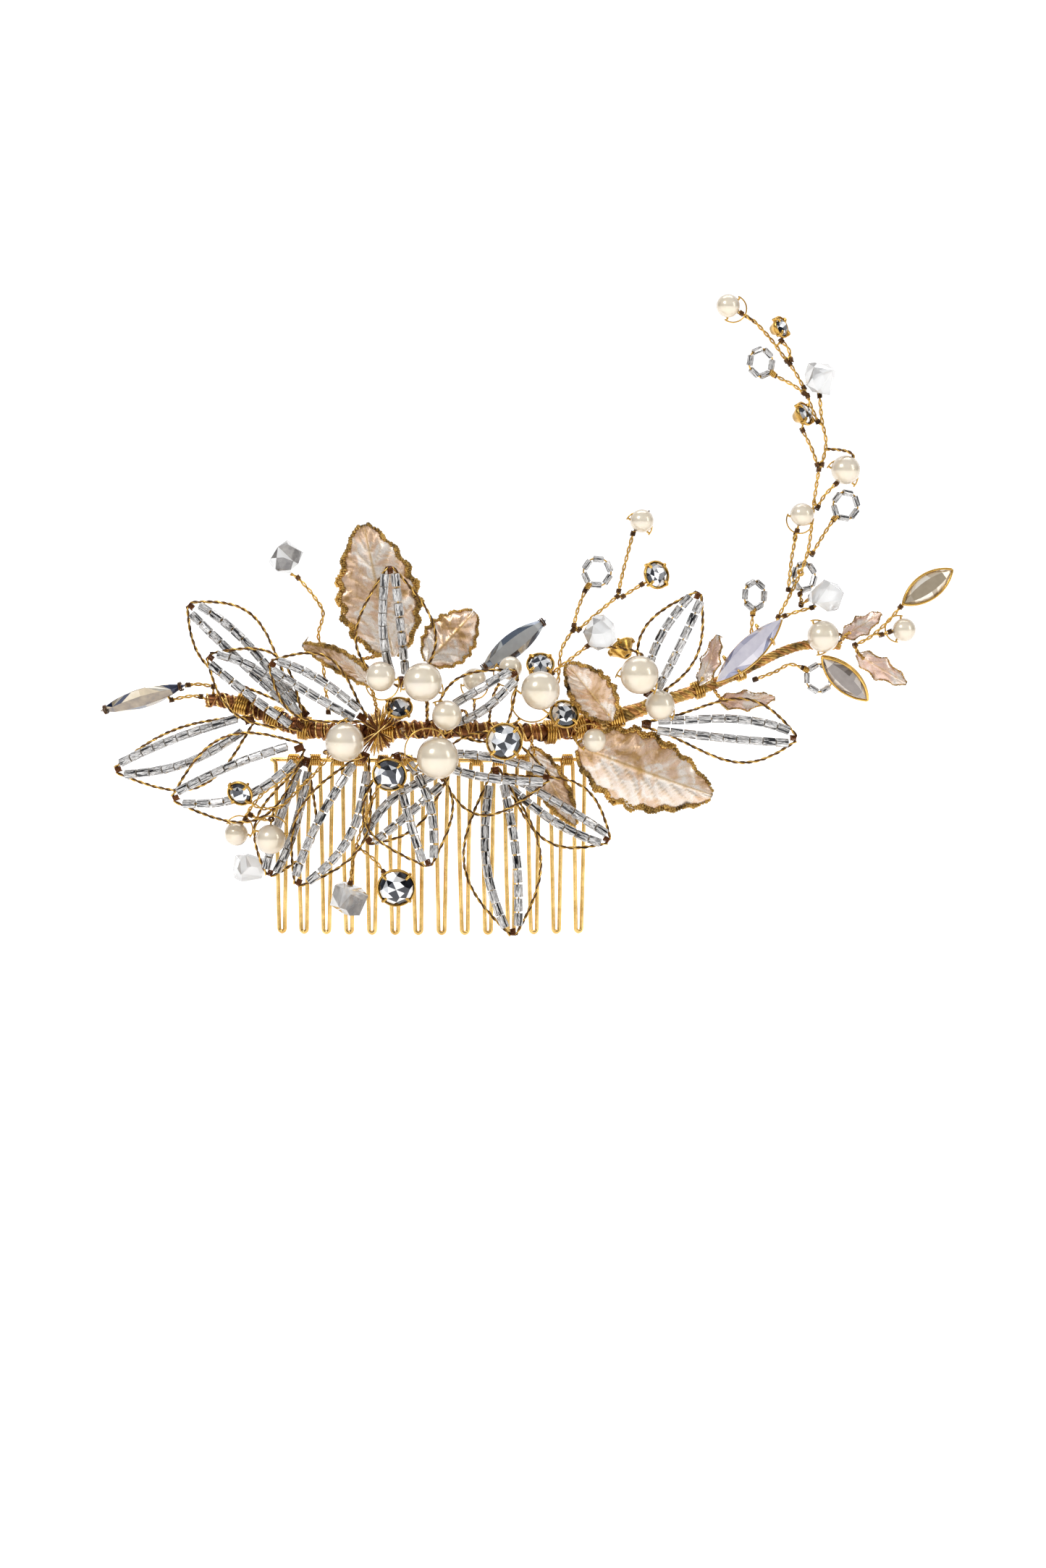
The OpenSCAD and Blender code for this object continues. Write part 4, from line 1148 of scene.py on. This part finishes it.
navettes = [navetteFrame(points) for points, _ in looseParts("navette_stones")]
bm = bmesh.new()
reflectionLayer = bm.faces.layers.float.new("paintedFacetReflection")
for number, (middle, along, across, face, length, width, thickness) in enumerate(navettes):
    bow = (length * length / width + width) / 4

    def halfWidth(t, shrink=1.0):
        y = t * length / 2
        return max(0.0, math.sqrt(max(bow * bow - y * y, 0)) - (bow - width / 2)) * shrink

    points = []
    for k in range(-6, 7):
        t = k / 6
        for side in (-1, 1):
            for h in (-0.06, 0.06):
                points.append(middle + along * t * length / 2 + across * side * halfWidth(t) + face * h
                              * thickness)
    for k in range(-3, 4):
        t = k / 3
        for side in (-1, 1):
            points.append(middle + along * t * length * 0.34 + across * side * halfWidth(t * 0.68, 0.52)
                          + face * 0.5 * thickness)
    points += [middle + along * t * length * 0.4 - face * 0.5 * thickness for t in (-1, -0.5, 0, 0.5, 1)]
    faces = hullInto(bm, points, number, 2.0)
    # painted reflections on the facets: bands across the stone, dark and bright, with a random share
    for facet in faces:
        offset = np.array(facet.calc_center_median()) - middle
        paintedReflectionBand = math.sin(offset @ across * 2600 + number) * 0.22
        facet[reflectionLayer] = min(1.0, max(0.0, 0.5 + paintedReflectionBand + rng.uniform(-0.4, 0.4)))
finishPiece("navetteStones", bm, navetteFinishes, ["navette_stones"], smooth=False)

bm = bmesh.new()
ties, claws, rims = [], [], []
settingParts = looseParts("navette_settings")
for number, (middle, along, across, face, length, width, thickness) in enumerate(navettes):
    rimPart = [points for points, _ in settingParts if np.linalg.norm(points.mean(0) - middle) < 0.6 * mm]
    clawParts = [points for points, _ in settingParts
                 if 0.6 * mm < np.linalg.norm(points.mean(0) - middle) < length * 0.45]
    bow = (length * length / width + width) / 4

    def edgeAt(t, grow):
        y = t * length / 2
        return max(0.0, math.sqrt(max(bow * bow - y * y, 0)) - (bow - width / 2)) + grow

    if rimPart:
        for h in (-0.22, 0.22):
            line = []
            for side in (1, -1):
                for k in range(-14, 15):
                    t = side * k / 14
                    line.append(middle + along * t * (length / 2 + 0.15 * mm) + across * side
                                * edgeAt(t, 0.12 * mm)
                                + face * h * thickness)
            rims.append((line + [line[0]], 0.2 * mm))
    elif clawParts:
        for points in clawParts:
            spot = points.mean(0)
            outward = across if (spot - middle) @ across > 0 else -across
            foot = spot - face * (thickness / 2 + 0.1 * mm)
            top = spot + face * (thickness / 2 + 0.15 * mm)
            claws.append((smoothLine([foot, (foot + top) / 2, top,
                                      top - outward * 0.55 * mm + face * 0.02 * mm], 0.2 * mm), 0.26 * mm))
        line = []
        for side in (1, -1):
            for k in range(-14, 15):
                t = side * k / 14
                line.append(middle + along * t * length / 2 + across * side * edgeAt(t, 0.05 * mm) - face
                            * 0.3 * thickness)
        rims.append((line + [line[0]], 0.16 * mm))
    else:
        for at in (-0.44, 0.44):
            turns = 2
            half = edgeAt(at * 2, 0.2 * mm)
            line = []
            for k in range(turns * 16 + 1):
                angle = 2 * math.pi * k / 16
                line.append(middle + along * (at * length + (k / 16 - 1) * 0.32 * mm) + across * half
                            * math.cos(angle)
                            + face * (thickness / 2 + 0.15 * mm) * math.sin(angle)
                            * (0.65 + 0.35 * abs(math.sin(angle))))
            ties.append((line, 0.13 * mm))
wiresInto(bm, rims, 0, 8)
wiresInto(bm, claws, 0, 8)
wiresInto(bm, ties, 1, 6)
finishPiece("navetteSettings", bm, [goldWire, darkWire], ["navette_settings"])
print("set stones done")


nugget = {"corners": 44, "shrink": 1.1}
bm = bmesh.new()
reflectionLayer = bm.faces.layers.float.new("paintedFacetReflection")
for points, _ in looseParts("nugget_beads"):
    # the eight outer corners give the block's own axes
    middle = (points.min(0) + points.max(0)) / 2
    distance = np.linalg.norm(points - middle, axis=1)
    corners = points[distance > distance.max() * 0.98] - middle
    half = distance.max() / math.sqrt(3)
    first = corners[0]
    near = sorted(corners, key=lambda c: np.linalg.norm(c - first))
    edgesOut = [near[i] - first for i in (1, 2, 3)]
    axes = [e / np.linalg.norm(e) for e in edgesOut]
    chunk = []
    for _ in range(nugget["corners"]):
        d = np.array([rng.gauss(0, 1) for _ in range(3)])
        d = d / (np.abs(d) ** 6).sum() ** (1 / 6)
        chunk.append(middle + sum(axes[j] * d[j] * half * nugget["shrink"] * rng.uniform(0.95, 1.03)
                                  for j in range(3)))
    # painted reflections on the facets: each facet is given a random level from dark to bright
    for facet in hullInto(bm, chunk, 0, 9.0):
        facet[reflectionLayer] = rng.random()
finishPiece("nuggetBeads", bm, [nuggetCrystal], ["nugget_beads"], smooth=False)

ringBeads = [beadFacts(points) for points, _ in looseParts("bead_rings")]
ringMesh = bugleTemplate(ringBeads[0][2], ringBeads[0][3], 12)
bm = bmesh.new()
beadsInto(bm, ringBeads, ringMesh)
finishPiece("ringGlass", bm, [bugleGlass], ["bead_rings"], smooth=False)
left = list(ringBeads)
loops = []
while left:
    first = left[0]
    group = sorted(left, key=lambda fact: np.linalg.norm(fact[0] - first[0]))[:6]
    left = [fact for fact in left if not any(fact is other for other in group)]
    centre = np.mean([fact[0] for fact in group], axis=0)
    u = group[0][0] - centre
    u = u / np.linalg.norm(u)
    w = np.cross(u, group[0][1])
    w = w / np.linalg.norm(w)
    v = np.cross(w, u)
    group.sort(key=lambda fact: math.atan2((fact[0] - centre) @ v, (fact[0] - centre) @ u))
    reach = np.linalg.norm(group[0][0] - centre)
    line = []
    for fact in group:
        direction = fact[1] if np.cross(fact[0] - centre, fact[1]) @ w > 0 else -fact[1]
        line += [fact[0] - direction * fact[2] * 0.56, fact[0] + direction * fact[2] * 0.56]
    loops.append((line + line[:2], 0.15 * mm))
    # a knot where the ring meets its stem
    stemEnd = min(anchors, key=lambda p: np.linalg.norm(p - centre))
    outward = stemEnd - centre
    outward = outward / np.linalg.norm(outward)
    knotAt = centre + outward * (reach * 1.155 + 0.35 * mm)
    loops.append((coil(knotAt, outward, 0.42 * mm, 0.13 * mm, 4), 0.13 * mm))
    if np.linalg.norm(stemEnd - knotAt) > 0.3 * mm:
        loops.append(([knotAt - outward * 0.5 * mm, knotAt, stemEnd], 0.2 * mm))
bm = bmesh.new()
wiresInto(bm, loops, 0, 6)
finishPiece("ringWires", bm, [goldWire], [])
print("beads done")


stem = {"open": 0.2 * mm, "linkOpen": 0.16 * mm, "wire": 0.15 * mm, "pitch": 3.0 * mm, "step": 0.25 * mm,
        "knot": 0.36 * mm, "reach": 2.6 * mm, "clear": 1.5 * mm, "touching": 0.4 * mm, "ownWidth": 0.9 * mm}
hungNodes = ["nugget_beads", "stone_cups", "navette_stones", "small_pearls"]
hung = [points for node in hungNodes for points, _ in looseParts(node)]


def linkBetween(a, b):
    return twistedPair([a, (a + b) / 2, b], stem["linkOpen"], stem["wire"], stem["pitch"], stem["step"])


def reachFrom(end):
    # the short bare wire from the end of a stem into whatever hangs on it
    nearest = min(hung, key=lambda points: np.linalg.norm(points - end, axis=1).min())
    spot = nearest[np.linalg.norm(nearest - end, axis=1).argmin()]
    spot = spot + (nearest.mean(0) - spot) * 0.2
    if np.linalg.norm(spot - end) > stem["reach"]:
        return []
    return linkBetween(end, spot)


for node, lines in stemLines.items():
    bm = bmesh.new()
    bright, dark, knots = [], [], []
    for number, line in enumerate(lines):
        first, second = twistedPair(line, stem["open"], stem["wire"], stem["pitch"], stem["step"],
                                    number * 0.9)
        bright.append(first)
        dark.append(second)
        own = smoothLine(line, 1.0 * mm)
        others = [p for p in anchors if min(np.linalg.norm(p - q) for q in own) > stem["ownWidth"]]
        for end, before in ((line[0], line[1]), (line[-1], line[-2])):
            knots.append((coil(end, end - before, stem["knot"], 0.12 * mm, 3), 0.12 * mm))
            near = min(others, key=lambda p: np.linalg.norm(p - end))
            gap = np.linalg.norm(near - end)
            link = reachFrom(end) if gap > stem["clear"] else []
            if not link and stem["touching"] < gap < stem["reach"]:
                link = linkBetween(end, near)
            bright += link
    wiresInto(bm, bright, 0, 6)
    wiresInto(bm, dark, 0, 6)
    wiresInto(bm, knots, 1, 6)
    made = {"tall_stems": "tallStems", "centre_stems": "centreStems", "lower_stems": "lowerStems"}[node]
    finishPiece(made, bm, [goldWire, darkWire], [node])

bm = bmesh.new()
stalks = []
for base, backward in leafStalks:
    target = min(anchors, key=lambda p: np.linalg.norm(p - base))
    if np.linalg.norm(target - base) > 0.4 * mm:
        stalks += twistedPair(bendTo(base - backward * 1.5 * mm, backward, target, 1.5 * mm), 0.2 * mm,
                              0.17 * mm, 1.8 * mm, 0.25 * mm)
if stalks:
    wiresInto(bm, stalks, 0, 6)
    finishPiece("leafStalks", bm, [goldWire], [])
print("stems done")

look = {"aim": (0.0156, 0.0, -0.003), "distance": 1.1, "elevation": 3.0, "seenHeight": 0.2627}
floorZ = cadBox[0][2]


def stageMaterial():
    material, tree, shader = newMaterial("paleFloor")
    cloud = noise(tree, objectPlace(tree), 3.0, 2.0)
    tree.links.new(ramp(tree, cloud, [(0.3, (0.72, 0.72, 0.72)), (0.7, (0.75, 0.75, 0.75))]),
                   shader.inputs["Base Color"])
    shader.inputs["Roughness"].default_value = 0.28
    shader.inputs["Specular IOR Level"].default_value = 0.35
    shader.inputs["Emission Color"].default_value = (1, 1, 1, 1)
    shader.inputs["Emission Strength"].default_value = 0.66
    return material


bm = bmesh.new()
sweep = [(-2.2, 0.0), (0.9, 0.0)] + [(0.9 + 0.5 * math.sin(math.radians(a)),
                                      0.5 - 0.5 * math.cos(math.radians(a)))
                                     for a in range(10, 91, 10)] + [(1.4, 2.6)]
line = [bm.verts.new((-2.5, y, floorZ + z)) for y, z in sweep]
edges = [bm.edges.new(pair) for pair in zip(line, line[1:])]
made = bmesh.ops.extrude_edge_only(bm, edges=edges)
bmesh.ops.translate(bm, vec=(5, 0, 0), verts=[g for g in made["geom"] if isinstance(g, bmesh.types.BMVert)])
bmesh.ops.recalc_face_normals(bm, faces=bm.faces)
mesh = bpy.data.meshes.new("paleFloor")
bm.to_mesh(mesh)
bm.free()
mesh.materials.append(stageMaterial())
mesh.shade_smooth()
floor = bpy.data.objects.new("paleFloor", mesh)
bpy.context.scene.collection.objects.link(floor)

world = bpy.data.worlds.new("studio")
world.use_nodes = True
tree = world.node_tree
background = tree.nodes["Background"]
height = tree.nodes.new("ShaderNodeSeparateXYZ")
tree.links.new(tree.nodes.new("ShaderNodeTexCoord").outputs["Generated"], height.inputs[0])
# a dark room round the horizon and a bright ceiling, so that metal and pearl have something to show
tree.links.new(ramp(tree, mathNode(tree, "MAXIMUM", height.outputs[2], 0.0), [
    (0.0, (0.05, 0.05, 0.055)), (0.16, (0.07, 0.07, 0.075)), (0.3, (0.5, 0.51, 0.53)), (0.5, (1.0, 1.0, 1.0)),
    (0.8, (0.9, 0.92, 0.96))]), background.inputs[0])
background.inputs[1].default_value = 0.55
bpy.context.scene.world = world
bpy.context.scene.view_settings.view_transform = "Standard"

aim = Vector(look["aim"])


def softLight(name, place, size, power, colour=(1, 1, 1)):
    light = bpy.data.lights.new(name, "AREA")
    light.shape = "RECTANGLE"
    light.size, light.size_y = size
    light.energy = power
    light.color = colour
    lamp = bpy.data.objects.new(name, light)
    lamp.location = aim + Vector(place)
    lamp.rotation_euler = (-Vector(place)).to_track_quat("-Z", "Y").to_euler()
    bpy.context.scene.collection.objects.link(lamp)
    return lamp


softLight("keyUpperLeft", (-0.5, -0.6, 0.6), (0.25, 0.25), 2.6)
softLight("fillRight", (0.75, -0.4, 0.3), (0.2, 0.5), 1.1, (1.0, 0.98, 0.95))
softLight("topStrip", (0.0, 0.25, 0.9), (0.9, 0.4), 3.0)

camera = bpy.data.cameras.new("camera")
camera.sensor_fit = "VERTICAL"
camera.sensor_height = 36
camera.lens = 36 * look["distance"] / look["seenHeight"]
camera.clip_start, camera.clip_end = 0.01, 20
viewer = bpy.data.objects.new("camera", camera)
lift = math.radians(look["elevation"])
viewer.location = aim + Vector((0, -math.cos(lift), math.sin(lift))) * look["distance"]
viewer.rotation_euler = (math.pi / 2 - lift, 0, 0)
bpy.context.scene.collection.objects.link(viewer)
bpy.context.scene.camera = viewer
print("stage, light and camera done")
